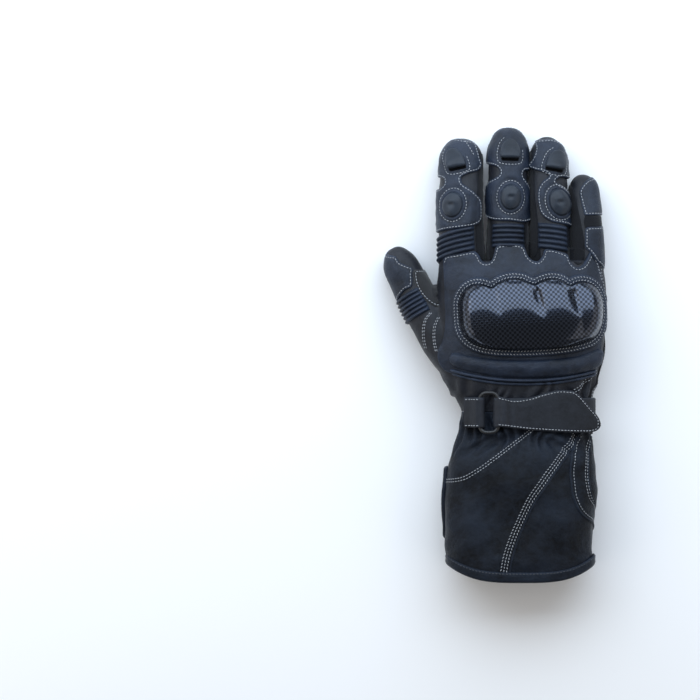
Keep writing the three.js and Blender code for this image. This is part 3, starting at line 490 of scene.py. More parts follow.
def declare(obj, replaces):
    """A piece's smooth shading, its body, and the hiding of the nodes that it stands for."""
    obj.data.polygons.foreach_set("use_smooth", [True] * len(obj.data.polygons))
    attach(obj, "root")
    if replaces:
        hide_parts(*replaces)


def make(name, points, faces, material, replaces=()):
    mesh = mesh_of(name, np.asarray(points) * MM, faces)
    mesh.update()
    obj = linked(name, mesh)
    mesh.materials.append(material)
    declare(obj, replaces)
    meshes[name] = (np.asarray(points, float), [tuple(int(i) for i in f) for f in faces])
    return obj


def tree_of(names):
    if names not in trees:
        trees[names] = BVHTree.FromPolygons(*joined(meshes[name] for name in names))
    return trees[names]


def drop(points, out, ground, reach=4.0):
    """Points moved along their own directions on to the pieces under them."""
    if not ground:
        return points
    tree = tree_of(ground)
    landed = np.array(points, float)
    for i, (p, n) in enumerate(zip(points, out)):
        direction = Vector(n)
        start = Vector(p) + direction * reach
        hit = tree.ray_cast(start, -direction, 2 * reach)[0]
        if hit is None:
            hit = tree.find_nearest(Vector(p), reach)[0]
        if hit is not None:
            landed[i] = hit
    return landed


def orient(points, faces):
    """Faces turned so that the closed form's volume is more than zero."""
    p = np.asarray(points, float)
    tri = np.array([(f[0], f[k], f[k + 1]) for f in faces for k in range(1, len(f) - 1)])
    volume = np.einsum("ij,ij->i", p[tri[:, 0]], np.cross(p[tri[:, 1]], p[tri[:, 2]])).sum()
    return faces if volume > 0 else [tuple(reversed(f)) for f in faces]


EDGE_ROWS = (0.14, 0.42, 0.85, 1.4, 2.0, 2.7)


def fill(outline, spacing, rows):
    """Points inside an outline, close together near its edge, joined into triangles."""
    outline = outline if turning(outline) > 0 else outline[::-1]
    count = len(outline)
    points = [outline]
    normals = normals_of(outline, True)
    for row in rows:
        moved = outline + normals * row
        moved = moved[to_line(moved, outline) > row * 0.93]
        points.append(moved[:: 2 if row > 1 else 1])
    lowest, highest = outline.min(0), outline.max(0)
    grid = []
    height = spacing * math.sqrt(3) / 2
    for j, y in enumerate(np.arange(lowest[1], highest[1], height)):
        xs = np.arange(lowest[0] + (j % 2) * spacing / 2, highest[0], spacing)
        grid.append(np.stack([xs, np.full_like(xs, y)], 1))
    grid = np.concatenate(grid)
    points.append(grid[to_line(grid, outline) > (rows[-1] if rows else 0) + 0.55 * spacing])
    flat = [Vector((float(x), float(y))) for x, y in np.concatenate(points)]
    edges = [(i, (i + 1) % count) for i in range(count)]
    made = delaunay_2d_cdt(flat, edges, [list(range(count))], 1, 1e-5)
    return np.array([[p.x, p.y] for p in made[0]]), [tuple(f) for f in made[2]]


def bridge(height, faces, rounds):
    """Heights smoothed between neighbours, but never lowered, as a taut skin bridges the steps under it."""
    tri = np.array(faces)
    pairs = np.concatenate([tri[:, [0, 1]], tri[:, [1, 2]], tri[:, [2, 0]]])
    pairs = np.concatenate([pairs, pairs[:, ::-1]])
    counts = np.maximum(np.bincount(pairs[:, 0], minlength=len(height)), 1)
    smooth = height.copy()
    for _ in range(rounds):
        mean = np.bincount(pairs[:, 0], weights=smooth[pairs[:, 1]], minlength=len(height)) / counts
        smooth = np.maximum(height, mean)
    return smooth


GROOVE_DEPTH, GROOVE_WIDTH = 0.3, 0.5  # where a row of stitches draws the leather in
LEAST_THICKNESS = 0.05


class Panel:
    """A piece of leather cut to an outline, laid on what is under it, with rounded edges.

    Its rim is sunk into what it lies on. Relief gives more height, and taut is how many rounds of
    smoothing carry it over the steps under it.
    """

    def __init__(self, name, skin, outline, thick, material, slot, ground=(), replaces=(), edge=1.0, spacing=1.8,
                 relief=None, sink=0.3, rows=EDGE_ROWS, grooves=(), floor=NEARLY_DOWN, reach=4.0, taut=0):
        self.name, self.skin, self.outline = name, skin, outline
        self.place = skin.place if hasattr(skin, "place") else skin
        uv, faces = fill(outline, spacing, rows)
        inside = np.maximum(to_line(uv, outline), 0)
        rim = inside < 1e-4
        height = thick * np.sqrt(1 - (1 - np.clip(inside / edge, 0, 1)) ** 2)
        for groove in grooves:
            height -= GROOVE_DEPTH * bell(inside - groove, GROOVE_WIDTH) * (inside > 0.2)
        if relief is not None:
            height += relief(uv, inside) * np.clip(inside / edge, 0, 1)
        skin_place, out = self.place(uv)
        base = drop(skin_place, out, ground, reach)
        if taut:
            level = ((base - skin_place) * out).sum(1)
            base = skin_place + out * bridge(level, faces, taut)[:, None]
        top = kept_over(base + out * (height - sink * rim)[:, None], floor)
        bottom = kept_over(base - out * sink, floor + LEAST_THICKNESS)
        count = len(uv)
        index = np.where(rim, np.arange(count), np.arange(count) + count)
        under = [tuple(index[i] for i in reversed(f)) for f in faces]
        points = np.concatenate([top, bottom])
        faces = faces + [f for f in under if not all(rim[i % count] for i in f)]
        used = sorted({i for f in faces for i in f})
        number = {old: new for new, old in enumerate(used)}
        points = points[used]
        faces = orient(points, [tuple(number[i] for i in f) for f in faces])
        self.obj = make(name, points, faces, material, replaces)


stitch_groups = {}
WIDEST_GAP = 1.4  # between two points of a row, which has no stitches over a wider one


def stitch_line(group, place, line, ground, closed=False, pitch=STITCH["pitch"], tilt=0.0, reach=4.0):
    """A row of stitches along a line in (u, v), kept until all its group is made."""
    line = resample(np.asarray(line, float), 0.6, closed)
    if closed:
        line = np.concatenate([line, line[:1]])
    base, out = place(line)
    on = drop(base, out, ground, reach)
    run = lengths_along(on)
    gaps = np.concatenate([[0], np.linalg.norm(np.diff(line, axis=0), axis=1)])
    count = int(run[-1] / pitch)
    if count < 1:
        return
    places = (np.arange(count) + 0.5) * run[-1] / count
    centre, normal = read_at(places, run, on), read_at(places, run, out)
    step = STITCH["length"] / 2
    tangent = read_at(places + step, run, on) - read_at(places - step, run, on)
    good = (np.linalg.norm(tangent, axis=1) > step) & (np.interp(places, run, gaps) < WIDEST_GAP)
    stitch_groups.setdefault(group, []).append((centre[good], unit(tangent)[good], normal[good], tilt))


def stitched_edges(group, panel, *insets, tilt=0.0):
    """Rows of stitches that follow a panel's edge, each at its own distance from it."""
    for distance in insets:
        line = inset(panel.outline, distance)
        if len(line) > 4:
            stitch_line(group, panel.place, line, (panel.name,), closed=True, tilt=tilt)


def make_stitches(materials):
    """Every group's stitches as one piece: short threads, sunk at both ends, each turned a little."""
    random = np.random.default_rng(11)
    sides, rings = 6, np.array([-1.0, -0.82, -0.3, 0.3, 0.82, 1.0])
    girth = np.array([0.35, 0.85, 1.0, 1.0, 0.85, 0.35])
    lift_at = np.array([-0.75, -0.2, 0.35, 0.35, -0.2, -0.75])
    template = np.array([
        (t, g * math.cos(a), g * math.sin(a) + h)
        for t, g, h in zip(rings, girth, lift_at)
        for a in circle(sides)
    ])
    faces = []
    for row in range(len(rings) - 1):
        for k in range(sides):
            a, b = row * sides + k, row * sides + (k + 1) % sides
            faces.append((a, a + sides, b + sides, b))
    faces.append(tuple(range(sides)))
    faces.append(tuple(reversed(range((len(rings) - 1) * sides, len(rings) * sides))))
    for group, rows in stitch_groups.items():
        threads = []
        for centre, tangent, normal, tilt in rows:
            normal = unit(normal - (normal * tangent).sum(1)[:, None] * tangent)
            side = np.cross(normal, tangent)
            turn = random.normal(tilt, 0.07, len(centre))[:, None]
            along = np.cos(turn) * tangent + np.sin(turn) * side
            side = np.cross(normal, along)
            length = STITCH["length"] / 2 * random.uniform(0.9, 1.1, len(centre))
            r = STITCH["radius"]
            stamped = (
                centre[:, None]
                + along[:, None] * (template[None, :, 0:1] * length[:, None, None])
                + side[:, None] * template[None, :, 1:2] * r
                + normal[:, None] * (template[None, :, 2:3] * r * 0.85 + 0.08)
            )
            threads.extend((one, faces) for one in kept_over(stamped, NEARLY_DOWN))
        points, all_faces = joined(threads)
        material = materials.get(group, materials["light"])
        make(f"stitches_{group}", np.array(points), all_faces, material)


def swept(rings, closed_path=False):
    """Points and faces of a form swept through rings of as many points each."""
    rings = [np.asarray(r, float) for r in rings]
    sides = len(rings[0])
    points = np.concatenate(rings)
    faces = []
    last = len(rings) if closed_path else len(rings) - 1
    for row in range(last):
        nxt = (row + 1) % len(rings)
        for k in range(sides):
            a, b = row * sides + k, row * sides + (k + 1) % sides
            c, d = nxt * sides + (k + 1) % sides, nxt * sides + k
            faces.append((a, b, c, d))
    if not closed_path:
        faces.append(tuple(reversed(range(sides))))
        faces.append(tuple(range((len(rings) - 1) * sides, len(rings) * sides)))
    return points, orient(points, faces)


def tube_rings(path, side, up, radii, sides):
    """Round rings of points about a path."""
    return [
        [p + r * (s * math.cos(a) + u * math.sin(a)) for a in circle(sides)]
        for p, s, u, r in zip(path, side, up, radii)
    ]


CORD_SIDES = 8
CORD_TAPER = 2.0


def cord_on(name, place, line, radius, ground, material, lift=0.0, replaces=()):
    """A piped cord laid along a line in (u, v), thinner at its two ends."""
    line = resample(np.asarray(line, float), 1.0, False)
    base, out = place(line)
    path = drop(base, out, ground) + out * lift
    tangent = unit(np.gradient(path, axis=0))
    side = unit(np.cross(out, tangent))
    reach = lengths_along(path)
    ends = np.minimum(reach, reach[-1] - reach)
    size = radius * np.sqrt(np.clip(0.08 + ends / CORD_TAPER, 0.08, 1))
    points, faces = swept(tube_rings(path, side, np.cross(tangent, side), size, CORD_SIDES))
    make(name, kept_over(points, NEARLY_DOWN), faces, material, replaces)


# Materials

class Nodes:
    """Short names for a material's nodes and links."""

    def __init__(self, name):
        self.material = bpy.data.materials.new(name)
        self.material.use_nodes = True
        self.tree = self.material.node_tree
        self.shader = self.tree.nodes["Principled BSDF"]
        self.place = self.add("ShaderNodeTexCoord").outputs["Object"]

    def add(self, kind, **values):
        node = self.tree.nodes.new(kind)
        for key, value in values.items():
            if hasattr(node, key):
                setattr(node, key, value)
            else:
                node.inputs[key.replace("_", " ")].default_value = value
        return node

    def link(self, source, target):
        self.tree.links.new(source, target)

    def noise(self, scale, detail, roughness):
        node = self.add("ShaderNodeTexNoise", Scale=scale, Detail=detail, Roughness=roughness)
        self.link(self.place, node.inputs["Vector"])
        return node.outputs["Fac"]

    def cells(self, scale):
        node = self.add("ShaderNodeTexVoronoi", feature="DISTANCE_TO_EDGE", Scale=scale)
        self.link(self.place, node.inputs["Vector"])
        return node.outputs["Distance"]

    def ramp(self, source, stops):
        node = self.add("ShaderNodeValToRGB")
        ramp = node.color_ramp
        while len(ramp.elements) < len(stops):
            ramp.elements.new(0.5)
        for element, (position, color) in zip(ramp.elements, stops):
            element.position = position
            element.color = (*color, 1) if isinstance(color, tuple) else (color, color, color, 1)
        self.link(source, node.inputs["Fac"])
        return node.outputs["Color"]

    def math(self, operation, a, b):
        node = self.add("ShaderNodeMath", operation=operation)
        for socket, value in zip(node.inputs, (a, b)):
            if isinstance(value, (int, float)):
                socket.default_value = value
            else:
                self.link(value, socket)
        return node.outputs[0]

    def mix(self, factor, a, b):
        node = self.add("ShaderNodeMix", data_type="RGBA")
        self.link(factor, node.inputs["Factor"])
        for socket, value in zip((node.inputs[6], node.inputs[7]), (a, b)):
            if isinstance(value, tuple):
                socket.default_value = (*value, 1)
            else:
                self.link(value, socket)
        return node.outputs[2]

    def bump(self, height, strength, distance, under=None):
        node = self.add("ShaderNodeBump", Strength=strength, Distance=distance)
        self.link(height, node.inputs["Height"])
        if under is not None:
            self.link(under, node.inputs["Normal"])
        return node.outputs["Normal"]

    def finish(self, **values):
        for key, value in values.items():
            socket = self.shader.inputs[key.replace("_", " ")]
            if hasattr(value, "is_linked"):
                self.link(value, socket)
            else:
                socket.default_value = (*value, 1) if isinstance(value, tuple) and len(value) == 3 else value
        return self.material


def leather(name, dark, light, shine, gloss, grain=1150.0, depth=1.0, creases=0.5):
    """Grained cowhide: cells of grain, finer pores, cloudy colour, and edges painted lighter, partly as wear and
    partly as a painted highlight.
    """
    n = Nodes(name)
    cloud = n.noise(30, 6, 0.68)
    mottle = n.noise(300, 4, 0.65)
    # Convex edges, found by pointiness, are made lighter: partly wear, partly a painted highlight where edges
    # catch the light.
    wear_and_highlight = n.add("ShaderNodeNewGeometry").outputs["Pointiness"]
    wear_and_highlight = n.ramp(wear_and_highlight, [(0.5, 0.0), (0.62, 1.0)])
    base = n.mix(n.ramp(cloud, [(0.38, 0.0), (0.64, 1.0)]), dark, light)
    mottled = n.math("MULTIPLY", n.ramp(mottle, [(0.35, 0.0), (0.75, 1.0)]), 0.35)
    base = n.mix(mottled, base, tuple(c * 1.5 for c in light))
    # The lighter edge colour is both wear and a painted highlight.
    base = n.mix(n.math("MULTIPLY", wear_and_highlight, 0.5), base, tuple(c * 2.6 for c in light))
    cell = n.ramp(n.cells(grain), [(0.0, 0.0), (0.22, 1.0)])
    pores = n.noise(grain * 2.3, 2, 0.5)
    wrinkles = n.noise(150, 6, 0.62)
    normal = n.bump(wrinkles, creases, 0.0009)
    normal = n.bump(cell, 0.32 * depth, 0.00022, normal)
    normal = n.bump(pores, 0.2 * depth, 0.0001, normal)
    rough = n.ramp(n.noise(90, 4, 0.6), [(0.3, shine - 0.07), (0.75, shine + 0.1)])
    return n.finish(Base_Color=base, Roughness=rough, Normal=normal, Specular_IOR_Level=gloss)


THREADS = 620  # scale of the threads in the stretch fabric, and of the weave's checks in the carbon


def suede_finish(name, dark, light):
    """Suede: fine nap, brushed in patches."""
    n = Nodes(name)
    nap = n.noise(1500, 3, 0.7)
    patches = n.noise(70, 5, 0.65)
    base = n.mix(n.ramp(patches, [(0.35, 0.0), (0.68, 1.0)]), dark, light)
    normal = n.bump(nap, 0.6, 0.00025)
    normal = n.bump(n.noise(210, 4, 0.6), 0.3, 0.0005, normal)
    return n.finish(
        Base_Color=base, Roughness=0.92, Normal=normal, Sheen_Weight=0.25, Sheen_Roughness=0.6,
        Specular_IOR_Level=0.2,
    )


def stretch_finish(name):
    """A dark knitted fabric with slanting ribs of thread."""
    n = Nodes(name)
    wave = n.add(
        "ShaderNodeTexWave", wave_type="BANDS", bands_direction="DIAGONAL", Scale=THREADS, Distortion=1.2
    )
    n.link(n.place, wave.inputs["Vector"])
    fuzz = n.noise(900, 3, 0.6)
    base = n.mix(fuzz, (0.004, 0.0045, 0.006), (0.011, 0.012, 0.015))
    normal = n.bump(wave.outputs["Fac"], 0.45, 0.0002)
    normal = n.bump(fuzz, 0.4, 0.0002, normal)
    return n.finish(Base_Color=base, Roughness=0.95, Normal=normal, Sheen_Weight=0.12, Specular_IOR_Level=0.15)


def thread_finish(name, dark, light):
    n = Nodes(name)
    base = n.mix(n.noise(600, 3, 0.6), dark, light)
    normal = n.bump(n.noise(3500, 2, 0.5), 0.5, 0.0001)
    return n.finish(Base_Color=base, Roughness=0.7, Normal=normal, Sheen_Weight=0.3)


def carbon_finish(name):
    """Twill of carbon fibre under a thick clear lacquer."""
    n = Nodes(name)
    mapping = n.add("ShaderNodeMapping", Rotation=(0, 0, math.radians(-5)), Scale=(1, 1, 0))
    n.link(n.place, mapping.inputs["Vector"])
    checker = n.add("ShaderNodeTexChecker", Scale=THREADS)
    n.link(mapping.outputs["Vector"], checker.inputs["Vector"])
    check = checker.outputs["Fac"]
    strands = n.noise(2600, 2, 0.5)
    tow = n.mix(strands, (0.032, 0.038, 0.054), (0.07, 0.083, 0.115))
    base = n.mix(check, tow, (0.009, 0.0115, 0.018))
    rough = n.ramp(check, [(0.0, 0.2), (1.0, 0.32)])
    normal = n.bump(check, 0.25, 0.0002)
    return n.finish(
        Base_Color=base, Metallic=1.0, Roughness=rough, Normal=normal, Coat_Weight=0.4, Coat_Roughness=0.03,
        Coat_IOR=1.5,
    )


def plastic_finish(name, color, shine):
    n = Nodes(name)
    scuffs = n.noise(260, 5, 0.7)
    base = n.mix(scuffs, color, tuple(c * 2.2 for c in color))
    rough = n.ramp(scuffs, [(0.3, shine), (0.8, shine + 0.15)])
    return n.finish(Base_Color=base, Roughness=rough, Normal=n.bump(scuffs, 0.15, 0.0002))


# A near-black, matt finish: painted shade for the openings under the vents' hoods.
def vent_shade_finish(name):
    n = Nodes(name)
    base = n.mix(n.noise(500, 3, 0.6), (0.001, 0.001, 0.0012), (0.003, 0.003, 0.0035))
    return n.finish(Base_Color=base, Roughness=1.0, Specular_IOR_Level=0.1)


shell_leather = leather("shell_leather", (0.005, 0.0055, 0.0075), (0.0145, 0.0165, 0.0225), 0.44, 0.26)
panel_leather = leather(
    "panel_leather", (0.0036, 0.0058, 0.0105), (0.0142, 0.0215, 0.0385), 0.4, 0.27, depth=1.4, creases=0.9
)
cuff_leather = leather(
    "cuff_leather", (0.0012, 0.0015, 0.0024), (0.0105, 0.0148, 0.0235), 0.36, 0.12, depth=1.6, creases=1.2
)
strap_leather = leather("strap_leather", (0.007, 0.008, 0.0105), (0.0155, 0.018, 0.024), 0.55, 0.22, depth=0.7)
armour_leather = leather(
    "armour_leather", (0.010, 0.013, 0.018), (0.02, 0.026, 0.036), 0.38, 0.22, depth=0.4, creases=0.15
)
suede = suede_finish("suede", (0.006, 0.0062, 0.0075), (0.014, 0.0145, 0.017))
stretch = stretch_finish("stretch_fabric")
lining = stretch_finish("lining_fabric")
thread = thread_finish("thread", (0.2, 0.215, 0.24), (0.5, 0.52, 0.55))
dark_thread = thread_finish("dark_thread", (0.01, 0.013, 0.018), (0.03, 0.037, 0.05))
carbon = carbon_finish("carbon")
buckle = plastic_finish("buckle_plastic", (0.008, 0.0085, 0.0095), 0.3)
# Near-black sheet for the vents' slots: painted shade.
dark = vent_shade_finish("vent_painted_shade")


# Relief of the shell: folds, gathers and soft dents, in millimetres along the surface's normal

def wander(points, scale, seed):
    """Smooth noise at the points, another for each seed."""
    return np.array([noise.noise(Vector(p) / scale + Vector((seed, 3.1 * seed, 7.7 * seed))) for p in points])


def plain_wander(uv, scale, seed):
    return wander(np.c_[uv, np.zeros(len(uv))], scale, seed)


PLEAT = 8.2  # from one pleat to the next


def gathers(points, across, strength):
    """Pleats that the strap pulls in round the wrist."""
    sideways = wander(points, 16, 5) * 2.6
    pleats = signed_power(np.sin(across / PLEAT * 2 * np.pi + sideways * 2.2), 0.8)
    uneven = 0.55 + 0.9 * wander(points, 22, 9)
    return strength * pleats * uneven


def hand_relief(points):
    y = points[:, 1] - WRIST_Y
    high_up = points[:, 2] > ROOT_HEIGHT
    dents = 1.1 * wander(points, 26, 1) + 0.5 * wander(points, 9, 2)
    near_wrist = 1 - ramp(y, 12, 26)
    pleats = gathers(points, points[:, 0], 2.0) * near_wrist * ramp(y, 0, 9)
    return np.where(high_up, dents * 0.55, dents) * ramp(y, 0, 9) + pleats


def finger_relief(points, uv, skin):
    """Soft dents, with creases across the palm side where the finger bends."""
    dents = 0.5 * wander(points, 17, 51) + 0.25 * wander(points, 6, 52)
    creases = np.zeros(len(points))
    on_palm = ramp(np.abs(uv[:, 0]), skin.side * 0.9, skin.side * 1.35)
    for share in (0.27, 0.33, 0.58, 0.63):
        line = uv[:, 1] - share * skin.length - 1.4 * wander(points, 7, 53 + share)
        creases -= 0.75 * bell(line, 1.0) * on_palm
        creases += 0.4 * bell(line - 2.6, 1.8) * on_palm
    return dents * ramp(uv[:, 1], -4, 3) + creases


CUFF_FOLDS = [  # place across, place along, slope and depth
    (-34, -22, 0.55, 2.4), (-22, -20, 0.6, 1.9), (-12, -17, 0.5, 1.2), (14, -19, -0.3, 1.2),
    (30, -24, -0.5, 1.5),
]


def cuff_relief(points, u, v):
    """Soft dents over the cuff, the strap's gathers at its top and slanting folds under the strap."""
    dents = 3.2 * wander(points, 36, 13) + 0.9 * wander(points, 12, 14)
    pleats = gathers(points, u, 1.8) * ramp(v, -34, -13)
    folds = np.zeros(len(points))
    for across, start, slope, depth in CUFF_FOLDS:
        line = v - start - slope * (u - across)
        folds -= depth * bell(line, 2.3) * bell(u - across, 11) * ramp(v, -42, -26)
        folds += 0.7 * depth * bell(line - 4.5, 3.0) * bell(u - across, 12) * ramp(v, -42, -26)
    return (dents * ramp(v, -111, -96) + folds + pleats) * (1 - ramp(v, -9, 0))


# The hand, the fingers and the thumb: one leather shell

def rings_of(skin, stations, sides):
    phi = circle(sides)
    signed = np.where(phi > np.pi, phi - 2 * np.pi, phi)
    return [skin.at(signed, np.full(sides, float(v)), 0) for v in stations]


def digit_stations(skin, along_body, along_tip):
    """Places along a digit, close together where its tip rounds off."""
    length, tip = skin.length, skin.digit["tip"]
    body = np.linspace(skin.digit["table"].places[0] * length, tip * length, along_body)
    rounding = np.sin(np.linspace(0, np.pi / 2, along_tip + 1))[1:]
    return np.concatenate([body, length * (tip + (1 - tip) * rounding)])


VOXEL = 1.25
THUMB_SIDE_X = -46  # what lies further left is the thumb


def hand_shell():
    """The hand and the thumb, joined by a remesh and opened at the wrist and at each finger's root."""
    parts = [
        swept(rings_of(hand, np.concatenate([np.linspace(-6, 94, 60), 94 + np.array([2, 4, 5.4])]), 120)),
        swept(rings_of(digits["thumb"], digit_stations(digits["thumb"], 40, 16), 56)),
    ]
    raw = linked("hand_raw", mesh_of("hand_raw", *joined(parts)))
    remesh = raw.modifiers.new("remesh", "REMESH")
    remesh.mode = "VOXEL"
    remesh.voxel_size = VOXEL
    soften = raw.modifiers.new("soften", "SMOOTH")
    soften.factor, soften.iterations = 0.5, 7
    points, faces = evaluated(raw)
    bpy.data.objects.remove(raw)
    normals = vertex_normals(points, faces)
    points = points + normals * hand_relief(points)[:, None]
    points = kept_over(points, CLEAR)
    on_palm = (points[:, 0] > THUMB_SIDE_X) & (points[:, 2] < REST_Z)
    points[on_palm, 2] = REST_Z
    faces = [f for f in faces if not in_finger_root(points[list(f)].mean(0))]
    cut_and_thicken("glove_shell", points, faces, WRIST_Y + SEAM / 2)


ROOT_LEDGE = 1.5  # leather left round the way into a finger


def in_finger_root(place):
    """Whether a place on the hand's end lies well inside a finger, where the way into it is open."""
    if place[1] < ROOT_Y - 4:
        return False
    for name in FINGERS:
        digit = DIGITS[name]
        across = (place[0] - digit["x"]) / (digit["width"] / 2 - WALL - ROOT_LEDGE)
        tall = (place[2] - ROOT_HEIGHT) / (digit["depth"] / 2 - WALL - ROOT_LEDGE)
        if across**2 + tall**2 < 1:
            return True
    return False


def evaluated(obj):
    """Points and faces of an object with its modifiers."""
    depsgraph = bpy.context.evaluated_depsgraph_get()
    shape = obj.evaluated_get(depsgraph).to_mesh()
    points = np.empty(len(shape.vertices) * 3)
    shape.vertices.foreach_get("co", points)
    faces = [tuple(p.vertices) for p in shape.polygons]
    obj.evaluated_get(depsgraph).to_mesh_clear()
    return points.reshape(-1, 3), faces


def vertex_normals(points, faces):
    quads = np.array([f if len(f) == 4 else (*f, f[-1]) for f in faces])
    cross = np.cross(points[quads[:, 2]] - points[quads[:, 0]], points[quads[:, 3]] - points[quads[:, 1]])
    normals = np.zeros_like(points)
    for k in range(4):
        np.add.at(normals, quads[:, k], cross)
    return unit(normals)


def cut_and_thicken(name, points, faces, cut_y):
    """The shell above the wrist line, given the leather's thickness inwards."""
    made = bmesh.new()
    mesh = mesh_of(name, points, faces)
    made.from_mesh(mesh)
    bmesh.ops.bisect_plane(
        made, geom=made.verts[:] + made.edges[:] + made.faces[:], plane_co=(0, cut_y, 0), plane_no=(0, -1, 0),
        clear_outer=True,
    )
    made.to_mesh(mesh)
    made.free()
    shell = linked(name, mesh)
    meshes[name] = (np.array([v.co for v in mesh.vertices]), [tuple(p.vertices) for p in mesh.polygons])
    mesh.materials.append(shell_leather)
    mesh.materials.append(lining)
    thicken = shell.modifiers.new("wall", "SOLIDIFY")
    thicken.thickness, thicken.offset = WALL, -1
    thicken.material_offset = 1
    depsgraph = bpy.context.evaluated_depsgraph_get()
    final = bpy.data.meshes.new_from_object(shell.evaluated_get(depsgraph))
    shell.modifiers.clear()
    shell.data = final
    final.transform(Matrix.Scale(MM, 4))
    declare(shell, ("hand_shell", "thumb_sleeve"))


def hollow_tube(outer, inner):
    """A tube with a wall, open at its first ring and closed at its last."""
    rings = [*outer, *inner]
    sides = len(rings[0])
    points = np.concatenate(rings)
    faces = []
    for row in range(len(rings)):
        if row == len(outer) - 1:
            continue
        start = row * sides
        nxt = ((row + 1) % len(rings)) * sides
        for k in range(sides):
            faces.append((start + k, start + (k + 1) % sides, nxt + (k + 1) % sides, nxt + k))
    outer_tip, inner_tip = (len(outer) - 1) * sides, len(outer) * sides
    faces.append(tuple(range(outer_tip, outer_tip + sides)))
    faces.append(tuple(reversed(range(inner_tip, inner_tip + sides))))
    return points, orient(points, faces)


def finger_tube(name):
    skin, sides = digits[name], 120
    u = around(skin, sides)
    stations = digit_stations(skin, 74, 24)
    outer, inner = [], []
    for v in stations:
        uv = row_at(u, v)
        base, out = skin.place(uv)
        outer.append(kept_over(base + out * finger_relief(base, uv, skin)[:, None], CLEAR))
    for v in stations[::-4]:
        ring = skin.place(row_at(u, min(v, skin.length - WALL)), -WALL)[0]
        inner.append(kept_over(ring, CLEAR + WALL))
    points, faces = hollow_tube(outer, inner)
    obj = make(f"{name}_finger", points, faces, shell_leather, (f"{name}_sleeve",))
    obj.data.materials.append(lining)
    inside = [int(min(f) >= len(outer) * sides) for f in faces]
    obj.data.polygons.foreach_set("material_index", inside)


hand_shell()
for finger in FINGERS:
    finger_tube(finger)
SHELL = ("glove_shell",)
HAND = ("glove_shell", *[f"{finger}_finger" for finger in FINGERS])


# The cuff: outer leather and lining in one closed wall, and the binding round its hem

CUFF_SIDES, CUFF_ROWS = 260, 84


def cuff_wall():
    u = around(cuff, CUFF_SIDES)
    stations = np.linspace(HEM_Y - WRIST_Y, -SEAM / 2, CUFF_ROWS)
    rings = []
    for v in stations:
        base, out = cuff.place(row_at(u, v))
        relief = cuff_relief(base, u, np.full(CUFF_SIDES, v))
        rings.append(kept_over(base + out * relief[:, None], REST_Z))
    for v in stations[::-3]:
        base, out = cuff.place(row_at(u, v), -WALL)
        relief = cuff_relief(base, u, np.full(CUFF_SIDES, v))
        rings.append(kept_over(base + out * (0.8 * relief - 0.2)[:, None], REST_Z + WALL))
    points, faces = swept(rings, closed_path=True)
    obj = make("cuff", points, faces, cuff_leather, ("cuff_shell",))
    obj.data.materials.append(lining)
    inside = [int(sum(f) / len(f) > CUFF_SIDES * CUFF_ROWS) for f in faces]
    obj.data.polygons.foreach_set("material_index", inside)


HEM_PROFILE = [  # along the cuff from its hem, and out from it
    (6.0, 0.35), (5.6, 1.0), (4.2, 1.35), (2.6, 1.25), (0.9, 1.4), (-0.6, 0.9), (-1.1, -0.6), (-0.6, -2.2),
    (1.2, -2.8), (4.4, -2.6), (4.8, -1.9), (2.4, -1.6), (0.5, -0.8), (0.5, -0.1), (4.8, 0.25),
]
HEM_SIDES = 220
HEM_ROW = 4.9  # from the hem to its row of stitches


def hem_binding():
    edge = HEM_Y - WRIST_Y
    base, out = cuff.place(row_at(around(cuff, HEM_SIDES), edge))
    relief = 0.25 * wander(base, 12, 21)
    rings = []
    for along, grow in HEM_PROFILE:
        ring = base + out * (grow + relief)[:, None]
        ring[:, 1] += along
        rings.append(kept_over(ring, REST_Z - grow))
    points, faces = swept(rings, closed_path=True)
    make("hem_band", points, faces, cuff_leather, ("hem_binding",))
    line = row_at(np.linspace(-cuff.side * 0.98, cuff.side * 0.98, 200), edge)

    def on_band(uv):
        base, out = cuff.place(uv)
        base[:, 1] += HEM_ROW
        return base, out

    stitch_line("hem", on_band, line, ("hem_band",), pitch=2.2)


cuff_wall()
hem_binding()
CUFF = ("cuff",)


# Stretch fabric between the fingers: a strip on each facing side, from the back round to the palm. Each
# row gives how far round the finger the strip starts, as a share of the way to its side.

GUSSET_PLACES = (-0.07, 0.0, 0.25, 0.5, 0.75, 0.87)
GUSSETS = {
    "index_outer": ("index", 1, (0.5, 0.46, 0.46, 0.5, 0.54, 0.6)),
    "middle_inner": ("middle", -1, (0.64, 0.6, 0.66, 0.9, 0.95, 1.0)),
    "middle_outer": ("middle", 1, (0.64, 0.6, 0.66, 0.88, 0.92, 1.0)),
    "ring_inner": ("ring", -1, (0.4, 0.35, 0.4, 0.52, 0.55, 0.7)),
    "ring_outer": ("ring", 1, (0.85, 0.8, 0.85, 1.0, 1.0, 1.05)),
    "little_inner": ("little", -1, (0.2, 0.15, 0.15, 0.25, 0.4, 0.6)),
}
GUSSET_BACK = ((1.25, 0.88), (1.42, 0.75), (1.5, 0.5), (1.5, 0.1), (1.45, -0.07))
WEB_REACH = 30.0
WEB_PUFF = 0.75


def gusset(name, finger, side, shares):
    skin = digits[finger]
    front = list(zip(shares, GUSSET_PLACES))
    outline = [(side * skin.side * across, along * skin.length) for across, along in (*front, *GUSSET_BACK)]

    def web(uv, inside):
        beside = bell(np.abs(uv[:, 0]) - skin.side, 7.0)
        return WEB_PUFF * beside * (1 - ramp(uv[:, 1], WEB_REACH - 12, WEB_REACH + 6))

    Panel(
        f"gusset_{name}", skin, through(outline, spacing=1.0), 0.45, stretch, "stretch_fabric",
        (f"{finger}_finger",), (f"{finger}_gusset_{'outer' if side > 0 else 'inner'}",), edge=0.8, spacing=1.8,
        rows=(0.3, 0.9, 1.7), relief=web,
    )


for name, (finger, side, shares) in GUSSETS.items():
    gusset(name, finger, side, shares)


def ground_of(finger):
    return (f"{finger}_finger", *[f"gusset_{name}" for name, row in GUSSETS.items() if row[0] == finger])


# The dark ends of the gussets, let in where the fingers part

